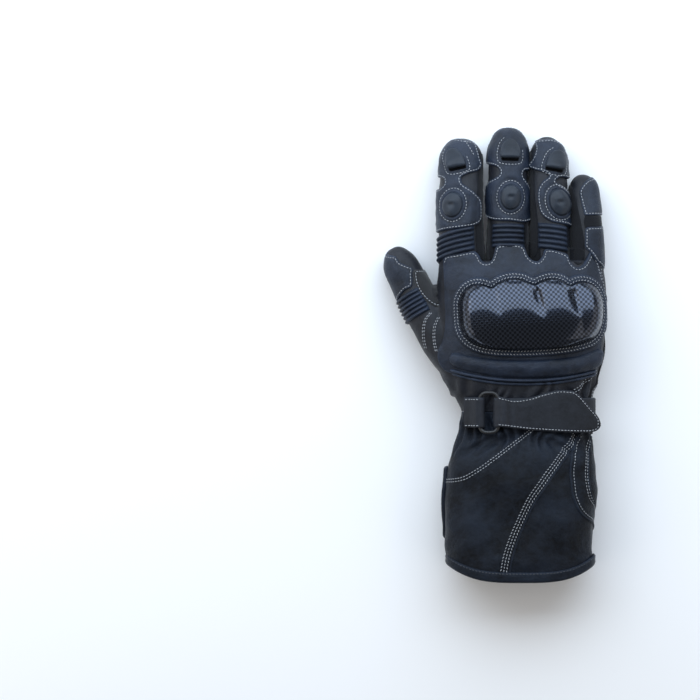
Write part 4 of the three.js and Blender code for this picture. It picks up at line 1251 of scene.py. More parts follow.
CROTCHES = {
    "index_middle": [
        (478.5, 247), (484.5, 244), (490, 247), (491, 252), (489, 258), (485.6, 260), (482, 258),
        (478.6, 252),
    ],
    "middle_ring": [
        (528, 244), (533, 241), (538.6, 244), (540, 251), (537.4, 257), (533.6, 258), (529.8, 254.6),
        (527.6, 249),
    ],
    "ring_little": [
        (571, 250), (577, 247), (583.6, 250), (585, 257), (581.4, 263.4), (576.6, 265.4), (572.6, 262),
        (570, 256),
    ],
}
for name, outline in CROTCHES.items():
    first, second = name.split("_")
    Panel(
        f"crotch_{name}", hand, cut(hand, outline), 0.4, stretch, "stretch_fabric",
        ("glove_shell", *ground_of(first), *ground_of(second)), (), edge=0.8, spacing=1.3, rows=(0.3, 0.9),
        reach=16.0,
    )


# The back of the hand

BACK_PANEL = [
    (446.5, 369), (445.5, 330), (445, 290), (445.5, 262), (449, 256.5), (459, 254), (473, 251.5),
    (478, 255), (481, 260.5), (486, 263), (491, 260.5), (494, 253), (496, 246.5), (502, 244.5),
    (518, 244.5), (524, 248), (527, 255.5), (532, 260.5), (537, 261.5), (541.5, 257), (544.5, 250.5),
    (549, 249), (560, 251.5), (567, 255.5), (569.5, 262.5), (575, 267.5), (581, 265.5), (585, 259.5),
    (588.5, 252), (592, 256), (597, 266), (601.5, 280), (603, 300), (602, 330), (599, 352), (594, 371),
    (575, 377), (550, 380.5), (521, 381.5), (495, 380.5), (470, 376.5),
]


def back_relief(uv, inside):
    return 0.6 * plain_wander(uv, 17, 61) + 0.35 * plain_wander(uv, 6, 62)


Panel(
    "back_leather", hand, cut(hand, BACK_PANEL), 1.25, panel_leather, "panel_leather", HAND, ("back_panel",),
    edge=0.9, grooves=(1.6,), taut=40, relief=back_relief,
)
top_edge = cut(hand, BACK_PANEL[3:32], closed=False)
stitch_line("back", hand.place, top_edge + normals_of(top_edge, False) * -1.6, ("back_leather",))
BACK = ("back_leather", "glove_shell")

GUARD = [
    (458.5, 310), (459.5, 300), (464, 291.5), (470, 287), (476, 285.5), (483, 286.5), (490.6, 288.8),
    (497, 284.5), (505, 281), (512.4, 280), (521, 281), (528, 284.3), (533.5, 286), (539, 283),
    (546, 280.6), (553.5, 280), (561, 282), (566, 285.6), (570, 286.8), (575, 284), (582, 282.8),
    (589, 284.5), (596, 289.5), (600.5, 298), (602, 308), (601.5, 319), (599, 329), (592, 338),
    (578, 343.5), (556, 347), (530, 348.8), (512, 349), (492, 348), (476, 344.5), (466, 338),
    (460.5, 328),
]
guard_plan = through(photo(GUARD), spacing=0.8)


def grown_outline(line, distance):
    moved = line - normals_of(line, True) * distance * turning(line)
    keep = -to_line(moved, line) > distance * 0.97 - 0.02
    return resample(moved[keep], 0.8, True)


LAYERS = 3.6  # from the skin up to the frame's top
FRAME_WIDTH = 5.4
GUARD_ROWS = (1.5, 3.6)  # of stitches, from the guard's edge


def frame_relief(uv, inside):
    base, out = hand.place(uv)
    gap = -to_line((base + out * LAYERS)[:, :2], guard_plan)
    rows = bell(gap - GUARD_ROWS[0], 0.45) + bell(gap - GUARD_ROWS[1], 0.45)
    return -1.2 * ramp(-gap, -0.8, -0.1) - 0.35 * rows


frame_outline = through(hand.seen(grown_outline(guard_plan, FRAME_WIDTH), over=LAYERS))
Panel(
    "guard_frame", hand, frame_outline, 2.4, panel_leather, "panel_leather", BACK, ("knuckle_frame",),
    edge=1.5, relief=frame_relief, spacing=1.5,
)
for away, tilt in zip(GUARD_ROWS, (0.5, -0.5)):
    row = hand.seen(grown_outline(guard_plan, away), over=LAYERS)
    stitch_line("guard", hand.place, row, ("guard_frame",), closed=True, tilt=tilt, reach=9.0)


GUARD_SEAT = 4.1
GUARD_OVERLAP = 0.4
STIFF_FROM, STIFFNESS = 40.0, 0.35  # where the stiff guard stops following the hand's side, and how far


def guard_height(plan):
    """Level of the guard's rim: it follows the back of the hand a little way over it."""
    held = np.array(plan, float)
    held[:, 0] -= STIFFNESS * np.maximum(held[:, 0] - STIFF_FROM, 0)
    return hand.place(hand.seen(held), GUARD_SEAT)[0][:, 2]


NOTCHES = [(490.6, 0.9, 2.0), (533.6, 2.7, 2.5), (570.2, 2.3, 2.4)]  # place, depth and width of each groove
GUARD_LEFT, GUARD_RIGHT, GUARD_TOP = 457, 604, 281
GUARD_LEFT_EDGE = [
    (280, 478), (286, 471), (291.5, 464), (300, 459.5), (310, 458.5), (328, 460.5), (338, 466),
    (344.5, 476), (350, 494),
]
GUARD_RIGHT_EDGE = [
    (280, 583), (284.5, 589), (289.5, 596), (298, 600.5), (308, 602), (319, 601.5), (329, 599),
    (338, 592), (343.5, 578), (350, 556),
]
SLANT = 0.24
RIM_RISE, RIM_WIDTH, BROW_RISE = 1.3, 0.8, 1.2
CREST, UPPER_SLOPE, LOWER_BEND = 27.0, 0.5, 0.0105
SIDE_WIDTH = 7.5


def guard_shape(plan, inside):
    """A crown that rises evenly from the knuckles to its crest, with a hump for each knuckle."""
    x = plan[:, 0] / POINT + ORIGIN_POINT[0]
    y = ORIGIN_POINT[1] - plan[:, 1] / POINT
    down = np.maximum(y - GUARD_TOP, 0)
    upper = 1 - ramp(down, 14, 40)
    run = down * POINT
    rise = UPPER_SLOPE * (run - run**2 / (2 * CREST))
    crown = np.where(run < CREST, rise, UPPER_SLOPE * CREST / 2 - LOWER_BEND * (run - CREST) ** 2)
    ends = []
    for edge, side in ((GUARD_LEFT_EDGE, 1), (GUARD_RIGHT_EDGE, -1)):
        places = np.array(edge, float)
        reach = side * (x - np.interp(y, places[:, 0], places[:, 1])) * POINT
        ends.append(1 - (1 - np.clip(reach / SIDE_WIDTH, 0, 1)) ** 3)
    crown = crown * ends[0] * ends[1]
    rim = RIM_RISE * (1 - (1 - np.clip(inside / RIM_WIDTH, 0, 1)) ** 2)
    valleys = np.zeros(len(plan))
    for notch, depth, reach in NOTCHES:
        off = (x - notch - SLANT * down) * POINT
        side = np.where(off > 0, reach * 0.55, reach * 1.4)
        valleys += depth * np.exp(-np.abs(off / side) ** 1.5)
    lobes = np.zeros(len(plan))
    limits = [GUARD_LEFT, *[notch[0] for notch in NOTCHES], GUARD_RIGHT]
    for a, b in zip(limits, limits[1:]):
        centre = (a + b) / 2 + SLANT * down
        lobes = np.maximum(lobes, 1 - ((x - centre) / ((b - a) / 2 + 3)) ** 2)
    brow = BROW_RISE * (lobes * upper + 0.75 * (1 - upper))
    return rim + crown + (brow - valleys * upper) * ramp(inside, 0.0, 5.0)


def guard_place(plan):
    plan = np.asarray(plan, float)
    points = np.stack([plan[:, 0], plan[:, 1], guard_height(plan)], 1)
    return points, np.tile([0.0, 0.0, 1.0], (len(plan), 1))


guard_outline = grown_outline(guard_plan, GUARD_OVERLAP)
Panel(
    "knuckle_armour", guard_place, guard_outline, 1.1, carbon, "guard", (), ("knuckle_guard",), edge=0.5,
    spacing=1.1, relief=guard_shape, sink=3.0, rows=(0.12, 0.3, 0.55, 0.85, 1.25, 1.8, 2.5),
)


# The padded roll under the frame, and the two cords of piping

ROLL = [
    (455, 353), (470, 356), (495, 359), (520, 360), (550, 359), (580, 355), (597, 349), (600, 355),
    (598, 364), (592, 369.5), (570, 375), (545, 377.6), (521, 378), (495, 376.5), (472, 372),
    (457, 367), (452.5, 360),
]


def roll_relief(uv, inside):
    creases = bell(plain_wander(uv, 11, 31), 0.2)
    return 3.3 * np.sqrt(np.clip(inside / 5.5, 0, 1)) - 0.5 * creases


roll = Panel(
    "back_padding", hand, cut(hand, ROLL), 0.7, panel_leather, "panel_leather", BACK, ("back_roll",),
    edge=1.2, relief=roll_relief,
)
PIPING_UPPER = [
    (452.5, 370), (470, 374.8), (495, 379), (521, 380.4), (548, 379.6), (572, 376.4), (596, 370.5),
]
for name, shift in (("piping_upper", 0.0), ("piping_lower", 3.6)):
    line = cut(hand, [(x, y + shift) for x, y in PIPING_UPPER], closed=False)
    cord_on(
        name, hand.place, line, 1.05, BACK, panel_leather, lift=0.35,
        replaces=(f"wrist_{name}",),
    )


# The backs of the fingers

FINGER_PANELS = {
    "index": [
        (466, 138.4), (472.6, 140), (476.4, 147), (478.6, 156), (480.2, 164), (477.5, 170),
        (468, 173.6), (461.8, 177.5), (462.5, 183), (468, 187.5), (473.5, 192), (478.5, 199.5),
        (479.5, 212), (478.5, 221), (473.8, 225.8), (462, 228.4), (449, 230), (436.5, 232.5),
        (431, 226), (431, 205), (436, 190), (442, 187.8), (445.6, 183.6), (444.6, 178.6), (438, 176.6),
        (430, 172), (434, 158), (440, 146), (450, 137),
    ],
    "middle": [
        (511, 124), (521, 129), (527, 138), (531, 152), (533, 164), (530.5, 169.6), (523.6, 170.6),
        (522.4, 175), (526, 182), (531, 191), (533, 205), (530.5, 217), (524, 222.6), (509, 221.4),
        (494, 220.4), (487, 213.5), (484, 202), (485.5, 190), (490, 182.6), (498.5, 176),
        (500.4, 171.4), (497, 166.4), (490, 163), (484, 158), (486, 145), (493, 133), (502, 126),
    ],
    "ring": [
        (539, 139), (546, 137.6), (553, 138), (561, 143), (569.5, 153), (575, 166), (576, 175.5),
        (568, 178.4), (560, 177.4), (556, 181), (562, 186), (571, 196), (576, 209), (576.5, 221),
        (571, 227), (561, 224), (550, 221.4), (541.6, 214.6), (538.4, 203), (538.4, 190.6), (542, 182),
        (548.6, 175.6), (545, 172.4), (536, 169.6), (531.6, 165.4), (535.6, 156), (538, 147),
    ],
}
PADS = {  # place in the photograph, turn, half width and half length
    "index": (453.5, 205, 8, 5.7, 8.3),
    "middle": (510.4, 197.4, 3, 6.0, 8.3),
    "ring": (558.2, 202.4, -13, 6.0, 9.0),
}
VENTS = {"index": (456, 159, -14), "middle": (510.4, 149.6, 2), "ring": (555.6, 160.4, 13)}
PAD_RING = 2.3


def ellipse(centre, turn, a, b, count=60):
    angle = np.linspace(0, 2 * np.pi, count, endpoint=False)
    turn = math.radians(turn)
    x, y = a * np.cos(angle), b * np.sin(angle)
    x, y = x * math.cos(turn) - y * math.sin(turn), x * math.sin(turn) + y * math.cos(turn)
    return np.stack([centre[0] + x, centre[1] + y], 1)


def turned(points, centre, turn):
    turn = math.radians(turn)
    points = np.asarray(points, float)
    x = points[:, 0] * math.cos(turn) - points[:, 1] * math.sin(turn)
    y = points[:, 0] * math.sin(turn) + points[:, 1] * math.cos(turn)
    return np.stack([centre[0] + x, centre[1] + y], 1)


VENT_TONGUE = [
    (0.0, 7.6), (2.4, 6.6), (4.3, 4.0), (5.3, 0.4), (5.6, -3.4), (4.8, -5.4), (0.0, -5.7),
    (-4.8, -5.4), (-5.6, -3.4), (-5.3, 0.4), (-4.3, 4.0), (-2.4, 6.6),
]
VENT_SLOT = [(-5.0, -5.0), (5.0, -5.0), (5.3, -6.4), (4.6, -7.4), (-4.6, -7.4), (-5.3, -6.4)]
VENT_STITCH = [
    (-3.4, 8.6), (-6.0, 5.2), (-7.2, 0.6), (-7.5, -4.4), (-6.6, -8.2), (-3.4, -9.4), (0.0, -9.6),
    (3.4, -9.4), (6.6, -8.2), (7.5, -4.4), (7.2, 0.6),
]
VENT_RISE = 3.0


def finger_back(name):
    skin = digits[name]
    pad_x, pad_y, pad_turn, half_width, half_length = PADS[name]
    pad_centre = photo([(pad_x, pad_y)])[0]
    vent_x, vent_y, vent_turn = VENTS[name]
    vent_centre = photo([(vent_x, vent_y)])[0]
    pad_edge = skin.seen(ellipse(pad_centre, -pad_turn, half_width, half_length))
    ring_edge = skin.seen(ellipse(pad_centre, -pad_turn, half_width + PAD_RING, half_length + PAD_RING + 0.5))
    vent_edge = skin.seen(turned(VENT_TONGUE, vent_centre, -vent_turn))
    vent_row = through(skin.seen(turned(VENT_STITCH, vent_centre, -vent_turn)), False, 0.6)

    def relief(uv, inside):
        round_pad = to_line(uv, ring_edge)
        swell = 0.9 * bell(round_pad - PAD_RING / 2 - 0.4, 1.3) + 0.35 * plain_wander(uv, 5, 63)
        swell += 0.6 * ramp(-round_pad, 0.4, 3.5)
        swell -= 0.45 * bell(round_pad, 0.55)
        swell -= 0.45 * bell(to_line(uv, vent_row, closed=False), 0.55)
        return swell

    outline = cut(skin, FINGER_PANELS[name], 0.7)
    panel = Panel(
        f"{name}_back_leather", skin, outline, 1.25, panel_leather, "panel_leather", ground_of(name),
        (f"{name}_back_panel",), edge=0.9, spacing=1.15,
        relief=relief, grooves=(1.5,), rows=(0.14, 0.42, 0.85, 1.4, 2.0),
    )
    stitched_edges(f"{name}_back", panel, 1.5)
    stitch_line(f"{name}_back", skin.place, ring_edge, (panel.name,), closed=True)
    stitch_line(f"{name}_back", skin.place, vent_row, (panel.name,))
    if name == "index":
        tip_row = through(skin.seen(photo([(465.4, 139.4), (468.8, 146), (473, 154.6)])), False, 0.6)
        stitch_line(f"{name}_back", skin.place, tip_row, (panel.name,))

    def dome(uv, inside):
        local = turned_back(skin.place(uv)[0][:, :2], pad_centre, -pad_turn)
        dimple = bell(local[:, 0] + 0.4, 1.1) * bell(local[:, 1] - 0.2, 1.3)
        brow = bell(local[:, 1] - 2.6, 2.2) * bell(local[:, 0], 3.0)
        return 3.3 * np.sqrt(1 - (1 - np.clip(inside / 6.4, 0, 1)) ** 2) - 0.9 * dimple + 0.45 * brow

    Panel(
        f"{name}_pad", skin, resample(pad_edge, 0.6, True), 0.5, armour_leather, "soft_armour", (panel.name,),
        (f"{name}_joint_pad",), edge=0.6, spacing=0.75, relief=dome, rows=(0.12, 0.35, 0.7, 1.2),
    )

    def hood(uv, inside):
        local = turned_back(skin.place(uv)[0][:, :2], vent_centre, -vent_turn)
        rise = ramp(local[:, 1], 7.5, -4.5)
        return VENT_RISE * rise * np.sqrt(1 - (1 - np.clip(inside / 2.4, 0, 1)) ** 2) + 0.3

    Panel(
        f"{name}_vent", skin, resample(through(vent_edge, spacing=0.5), 0.5, True), 0.5, armour_leather,
        "soft_armour", (panel.name,), (f"{name}_vent_hood",), edge=0.45, spacing=0.7, relief=hood,
        rows=(0.1, 0.3, 0.6, 1.1, 1.7),
    )
    # A near-black sheet over the slot under the vent's hood: painted shade of the opening.
    slot_edge = resample(skin.seen(turned(VENT_SLOT, vent_centre, -vent_turn)), 0.5, True)
    Panel(
        f"{name}_vent_mouth_shade", skin, slot_edge, 0.35, dark, "soft_armour", (panel.name,), (), edge=0.4,
        spacing=0.8, rows=(0.15, 0.4),
    )


def turned_back(points, centre, turn):
    turn = math.radians(-turn)
    x, y = points[:, 0] - centre[0], points[:, 1] - centre[1]
    return np.stack([x * math.cos(turn) - y * math.sin(turn), x * math.sin(turn) + y * math.cos(turn)], 1)


for finger in ("index", "middle", "ring"):
    finger_back(finger)


# Ribs of stretch leather: a strip with round folds across it

def rib_strip(digit, u_range, v_range, count, tilt, ground):
    columns, rows = 26, count * 10
    us = np.linspace(*u_range, columns + 1)
    vs = np.linspace(*v_range, rows + 1)
    grid = np.array([(u, v + tilt * (u - sum(u_range) / 2) - 0.004 * (u - sum(u_range) / 2) ** 2)
                     for v in vs for u in us])
    share = np.repeat(np.linspace(0, 1, rows + 1), columns + 1)
    side = np.tile(np.minimum(np.arange(columns + 1), columns - np.arange(columns + 1)), rows + 1)
    wave = np.abs(np.sin(np.pi * share * count)) ** 0.75
    edge = np.sqrt(np.clip(side / 3.0, 0, 1))
    jitter = 0.12 * plain_wander(grid, 4, 41)
    height = (0.45 + (1.75 + jitter) * wave) * edge
    base, out = digits[digit].place(grid)
    base = drop(base, out, ground)
    top = base + out * height[:, None]
    bottom = base - out * 0.4
    count_all = len(grid)
    faces = []
    width = columns + 1
    for i in range(rows):
        for j in range(columns):
            a = i * width + j
            faces.append((a, a + 1, a + width + 1, a + width))
            faces.append((count_all + a, count_all + a + width, count_all + a + width + 1, count_all + a + 1))
    border = list(range(columns)) + [i * width + columns for i in range(rows)]
    border += [rows * width + j for j in range(columns, 0, -1)] + [i * width for i in range(rows, 0, -1)]
    for a, b in zip(border, border[1:] + border[:1]):
        faces.append((a, count_all + a, count_all + b, b))
    points = np.concatenate([top, bottom])
    made = orient(points, faces)
    make(f"{digit}_stretch_ribs", points, made, panel_leather, (f"{digit}_ribs",))


RIBS = {
    "index": ((-23.0, 9.0), (3.2, 19.6), 5, 0.26),
    "middle": ((-12.0, 11.5), (8.2, 24.0), 5, 0.0),
    "ring": ((-8.5, 12.0), (6.8, 23.6), 5, -0.15),
}
for finger, (across, along, count, tilt) in RIBS.items():
    rib_strip(finger, across, along, count, tilt, ground_of(finger))
rib_strip("thumb", (-22.0, 4.0), (37.5, 54.5), 6, 0.12, SHELL)


# The little finger and the thumb

LITTLE_TIP = [
    (588.5, 178.6), (583.6, 184), (580.2, 191), (581.4, 201), (583.6, 211), (584.6, 215), (593, 215.4),
    (602, 215), (609, 213), (611, 200), (608, 188), (600, 178), (593, 175.6),
]
LITTLE_ROOT = [
    (587, 227.4), (596, 226.6), (606, 226), (613, 232), (612, 248), (611, 262), (604, 270), (596, 262),
    (589.4, 252.4), (585, 247.6), (584.8, 238), (585, 230),
]
little_tip = Panel(
    "little_tip_leather", digits["little"], cut(digits["little"], LITTLE_TIP, 0.7), 1.2, panel_leather,
    "panel_leather", ground_of("little"), ("little_tip_panel",), edge=0.9, spacing=1.5, grooves=(1.4,),
)
little_root = Panel(
    "little_root_leather", digits["little"], cut(digits["little"], LITTLE_ROOT, 0.7), 1.2, panel_leather,
    "panel_leather", ("little_finger", "gusset_little_inner", "glove_shell", "back_leather"),
    ("little_root_panel",), edge=0.9, spacing=1.5, grooves=(1.4,),
)
# A strip of dark stretch fabric in the gap between the little finger's two panels: painted shade of the deep
# fold there.
LITTLE_FOLD_SHADE = [
    (585, 215.6), (594, 216), (603, 215.6), (609, 216), (609, 226), (603, 226.4), (594, 227),
    (585, 227.8),
]
Panel(
    "little_fold_shade", digits["little"], cut(digits["little"], LITTLE_FOLD_SHADE, 0.7), 0.5, stretch,
    "stretch_fabric", ("little_finger", "gusset_little_inner"), (), edge=0.6, spacing=1.3, rows=(0.2, 0.6),
)
for panel in (little_tip, little_root):
    stitched_edges("little_finger", panel, 1.4)

THUMB_TIP = [
    (391.6, 247), (395, 255.6), (399.6, 261.6), (406, 265), (412.6, 268.6), (412, 274), (412.6, 281),
    (411.6, 286.4), (405.4, 289.8), (400.6, 295.6), (397.6, 303.6), (390, 300), (384, 284), (379, 266),
    (381, 252), (386, 246),
]
THUMB_SIDE = [
    (414, 271), (420, 269.6), (428, 270), (437, 281), (446, 293), (450, 304), (444, 310), (438, 308),
    (430, 303.6), (424, 298.4), (419, 291.6), (415, 282.6),
]
thumb_skin = digits["thumb"]
thumb_tip = Panel(
    "thumb_tip_leather", thumb_skin, cut(thumb_skin, THUMB_TIP, 0.7), 1.2, panel_leather,
    "panel_leather", SHELL, ("thumb_tip_panel",), edge=0.9, spacing=1.4, grooves=(1.4,),
)
thumb_side = Panel(
    "thumb_side_suede", thumb_skin, cut(thumb_skin, THUMB_SIDE, 0.7), 0.9, suede, "suede",
    SHELL, ("thumb_suede_panel",), edge=0.8, spacing=1.5, grooves=(1.4,),
)
stitched_edges("thumb", thumb_tip, 1.4)
stitched_edges("thumb", thumb_side, 1.3)
for row in (
    [(430.3, 312.4), (425, 319), (422.6, 328), (422.6, 338), (425, 349)],
    [(437.6, 317), (434, 325), (433, 333), (433.4, 342), (435.6, 352)],
):
    for away in (0.0, 1.7):
        line = cut(thumb_skin, [(x + away, y) for x, y in row], 0.6, False)
        stitch_line("thumb", thumb_skin.place, line, SHELL, reach=8.0)


# The wrist strap: a band that comes up round the little finger's side, goes round the ring's bar and lies
# back over itself, with a stitched, tongue-shaped end

STRAP_TOP = [
    (-34, 395.4), (-18, 395.3), (-4, 399.4), (6, 397.4), (15, 393.2), (26.7, 389.8), (34, 390.6),
    (38, 394), (42.4, 401), (46, 407.4), (49.8, 413.8), (52, 419), (53, 424),
]
STRAP_BOTTOM = [
    (-34, 425.6), (-18, 426), (6, 429.8), (24, 431.6), (36, 432.4), (44, 432.6), (49, 431.4),
    (51.6, 429), (53, 425.6),
]
RING_X = -20.8
RING_WIDTH = 14.5
RING_HEIGHT = 28.5
WIRE = 2.4
RING_SIDES = 14
BAR = (RING_WIDTH - WIRE) / 2
STRAP_Y = WRIST_Y - 0.5
STRAP_THICK = 1.9
WRIST = dict(shift=3.4, half=45.2, axis=17.0, rise=18.0, sink=14.0)
TONGUE_HALF = 55.0


def round_wrist(phi, over):
    """A point in x and z round the wrist, phi from the middle of the back, a little way over the leather."""
    height = signed_power(np.cos(phi), 0.8)
    tall = np.where(height > 0, WRIST["rise"], WRIST["sink"])
    x = WRIST["shift"] + (WRIST["half"] + over) * signed_power(np.sin(phi), 0.8)
    return np.stack([x, np.maximum(WRIST["axis"] + (tall + over) * height, 0.5 + over)], -1)


def wrist_level(x, over, half=None):
    reach = np.clip(np.abs(np.asarray(x, float) - WRIST["shift"]) / ((half or WRIST["half"]) + over), 0, 1)
    return WRIST["axis"] + (WRIST["rise"] + over) * (1 - reach**2.5) ** 0.4


def band(name, path, low_edge, high_edge, replaces):
    """A flat strap with rounded edges, swept along a path in x and z."""
    tangent = unit(np.gradient(path, axis=0))
    normal = np.stack([-tangent[:, 1], tangent[:, 0]], 1)
    across = 14
    rings = []
    for (x, z), (nx, nz), y0, y1 in zip(path, normal, low_edge, high_edge):
        radius = STRAP_THICK / 2
        ring = []
        for y in np.linspace(y0 + radius, y1 - radius, across):
            inside = min(y - y0, y1 - y)
            crown = 0.25 * (1 - bell(inside, 3.0)) - 0.28 * bell(inside - 2.0, 0.5)
            ring.append((x + nx * (radius + crown), y, z + nz * (radius + crown)))
        for a in (0.3, 0.5, 0.7):
            w = math.cos(math.pi * a)
            ring.append((x + nx * radius * w, y1 - radius + radius * math.sin(math.pi * a), z + nz * radius * w))
        for y in np.linspace(y1 - radius, y0 + radius, across):
            ring.append((x - nx * radius, y, z - nz * radius))
        for a in (0.7, 0.5, 0.3):
            w = math.cos(math.pi * a)
            ring.append((x + nx * radius * w, y0 + radius - radius * math.sin(math.pi * a), z + nz * radius * w))
        rings.append(ring)
    points, faces = swept(rings)
    make(name, points, faces, strap_leather, (replaces,))


LOW, HIGH = 1.1, 5.7
PRESSED_HIGH = LOW + STRAP_THICK + 0.15
STRAP_START = 2.15


def upper_over(x, side):
    """How far the upper layer lies over the leather: high at the ring's bar, then down on the lower one."""
    away = side * (x - (RING_X + side * BAR))
    roll = bell(away - 3.4, 1.9) - 0.8 * bell(away - 7.2, 1.7) + 0.4 * bell(away - 10.4, 1.6)
    if side < 0:
        roll = 0.6 * bell(away - 2.6, 1.6)
    lifted = 1 - ramp(away, 2.0, 7.0 if side < 0 else 18.0)
    return PRESSED_HIGH + (HIGH - PRESSED_HIGH) * lifted + 0.8 * roll


def hairpin(under, bar, side, end, half=None):
    """The path of a strap's middle: along under the ring, round its bar and back on top."""
    spread = HIGH - LOW
    bend = []
    for angle in np.linspace(0, np.pi, 13)[1:-1]:
        lift = LOW + spread * (1 - math.cos(angle)) / 2
        bend.append((bar - side * math.sin(angle) * spread / 2, wrist_level(bar, lift)))
    xs = np.linspace(bar, end, 110)
    over = np.stack([xs, wrist_level(xs, upper_over(xs, side), half)], 1)
    return np.concatenate([under, np.array(bend), over]), len(under) + len(bend)


bar = RING_X + BAR
bar_angle = -math.asin(((WRIST["shift"] - bar) / (WRIST["half"] + LOW)) ** 1.25)
path, turn_at = hairpin(round_wrist(np.linspace(STRAP_START, bar_angle, 90), LOW), bar, 1, 52.6, TONGUE_HALF)
edge_points = {"low": np.array(STRAP_BOTTOM, float), "high": np.array(STRAP_TOP, float)}


def strap_edge(which, x):
    table = edge_points[which]
    y = smooth_curve(table[:, 0], table[:, 1], x)
    return (ORIGIN_POINT[1] - y) * POINT


low_edge = strap_edge("low", path[:, 0])
high_edge = strap_edge("high", path[:, 0])
low_edge[:turn_at] = STRAP_Y - 9.6
high_edge[:turn_at] = STRAP_Y + 9.6
blend = ramp(np.arange(len(path)), turn_at - 6, turn_at + 2)
low_edge = low_edge * blend + (STRAP_Y - 9.6) * (1 - blend)
high_edge = high_edge * blend + (STRAP_Y + 9.6) * (1 - blend)
narrow = high_edge - low_edge < STRAP_THICK + 0.3
middle = (high_edge + low_edge) / 2
low_edge = np.where(narrow, middle - STRAP_THICK / 2 - 0.15, low_edge)
high_edge = np.where(narrow, middle + STRAP_THICK / 2 + 0.15, high_edge)
band("strap", path, low_edge, high_edge, "wrist_strap")

ANCHOR_END = -36.6
anchor_xs = np.linspace(ANCHOR_END, RING_X - BAR, 24)
anchor_under = np.stack([anchor_xs, wrist_level(anchor_xs, LOW)], 1)
anchor_path, anchor_turn = hairpin(anchor_under, RING_X - BAR, -1, ANCHOR_END)
flat = np.full(len(anchor_path), STRAP_Y)
band("anchor", anchor_path, flat - 9.9, flat + 10.0, "strap_anchor")


def strap_place(plan):
    plan = np.asarray(plan, float)
    side = 1 if plan[0, 0] > RING_X else -1
    half = TONGUE_HALF if side > 0 else None
    z = wrist_level(plan[:, 0], upper_over(plan[:, 0], side), half)
    before = wrist_level(plan[:, 0] - 0.5, upper_over(plan[:, 0] - 0.5, side), half)
    after = wrist_level(plan[:, 0] + 0.5, upper_over(plan[:, 0] + 0.5, side), half)
    slope = after - before
    out = np.stack([-slope, np.zeros(len(plan)), np.ones(len(plan))], 1)
    return np.c_[plan, z], out / np.linalg.norm(out, axis=1)[:, None]


xs = np.linspace(RING_X + BAR - 2.2, 52.0, 90)
STRAP_INSET = 1.3
top_line = np.stack([xs, strap_edge("high", xs)], 1)
bottom_line = np.stack([xs, strap_edge("low", xs)], 1)
strap_outline = resample(np.concatenate([top_line, bottom_line[::-1]]), 0.6, True)
strap_row = inset(strap_outline, STRAP_INSET)
strap_row = strap_row[strap_row[:, 0] > xs[0] + STRAP_INSET + 0.3]
row_gaps = np.linalg.norm(np.diff(np.concatenate([strap_row, strap_row[:1]]), axis=0), axis=1)
start_row = int(np.argmax(row_gaps)) + 1
strap_row = np.roll(strap_row, -start_row, axis=0)
stitch_line("strap", strap_place, strap_row, ("strap",))
for side in (-8.6, 8.6):
    row = [(x, STRAP_Y + side) for x in np.linspace(ANCHOR_END + 0.3, RING_X - BAR - 0.6, 20)]
    stitch_line("strap", strap_place, row, ("anchor",))


def strap_ring():
    corner = 4.6
    path = []
    for cx, cy, start in ((1, 1, 0), (-1, 1, 1), (-1, -1, 2), (1, -1, 3)):
        for angle in np.linspace(start, start + 1, 9) * np.pi / 2:
            path.append((
                RING_X + cx * (RING_WIDTH - WIRE - 2 * corner) / 2 + corner * math.cos(angle),
                STRAP_Y + cy * (RING_HEIGHT - WIRE - 2 * corner) / 2 + corner * math.sin(angle),
            ))
    path = resample(np.array(path), 0.8, True)
    path = np.c_[path, wrist_level(path[:, 0], (LOW + HIGH) / 2)]
    tangent = unit(np.roll(path, -1, axis=0) - np.roll(path, 1, axis=0))
    up = np.tile([0.0, 0.0, 1.0], (len(path), 1))
    side = unit(np.cross(up, tangent))
    radii = np.full(len(path), WIRE / 2)
    points, faces = swept(tube_rings(path, side, up, radii, RING_SIDES), closed_path=True)
    make("ring", points, faces, buckle, ("strap_ring",))


strap_ring()


# The cuff's seams, its piped inset and the closing flap

def cuff_line(points):
    return cut(cuff, points, 0.6, False)


def shifted(line, distance):
    return line + normals_of(line, False) * distance


upper_seam = cuff_line([
    (446, 481.5), (461, 478.5), (477, 469.5), (495, 457), (511, 445), (528, 432), (536, 424),
])
for away in (-0.95, 0.95):
    stitch_line("cuff", cuff.place, shifted(upper_seam, away), CUFF)
main_seam = cuff_line([
    (576, 434), (569, 445), (555, 463), (541, 481), (530, 497), (520, 517), (512, 535), (506, 553),
    (502, 574),
])
for away in (-1.9, 0.0, 1.9):
    stitch_line("cuff", cuff.place, shifted(main_seam, away), CUFF, tilt=0.35 * (away / 1.9))
piping_line = cuff_line([
    (581, 436), (574, 447), (560, 465), (546, 483), (534.6, 500), (524.6, 520), (517, 538),
    (511.4, 556), (508, 575),
])
cord_on("main_seam_welt", cuff.place, piping_line, 0.65, CUFF, cuff_leather, lift=-0.1)

INSET_LINE = [
    (579, 434), (574.4, 447), (571.4, 462), (571, 480), (571.8, 496), (576, 508), (584, 516.6),
    (594, 523.6), (604, 531),
]
inset_line = cuff_line(INSET_LINE)
cord_on("inset_welt", cuff.place, inset_line, 0.8, CUFF, cuff_leather, lift=0.0)
stitch_line("cuff", cuff.place, shifted(inset_line, 2.2), CUFF)
inner_line = cuff_line([
    (589, 440), (586.4, 456), (585.4, 474), (586, 488), (590, 500), (597, 512), (604, 520),
])
for away in (-0.9, 0.9):
    stitch_line("cuff", cuff.place, shifted(inner_line, away), CUFF)
side_seam = cut(hand, [(573, 391), (581, 385), (591, 377), (598, 371)], 0.6, False)
for away in (-0.95, 0.95):
    stitch_line("back", hand.place, shifted(side_seam, away), SHELL)
CUFF_SIDE = [
    (590, 438), (587.4, 456), (586.4, 474), (587, 488), (591, 500), (598, 512), (606, 519), (612, 505),
    (614, 480), (613, 455), (606, 436),
]
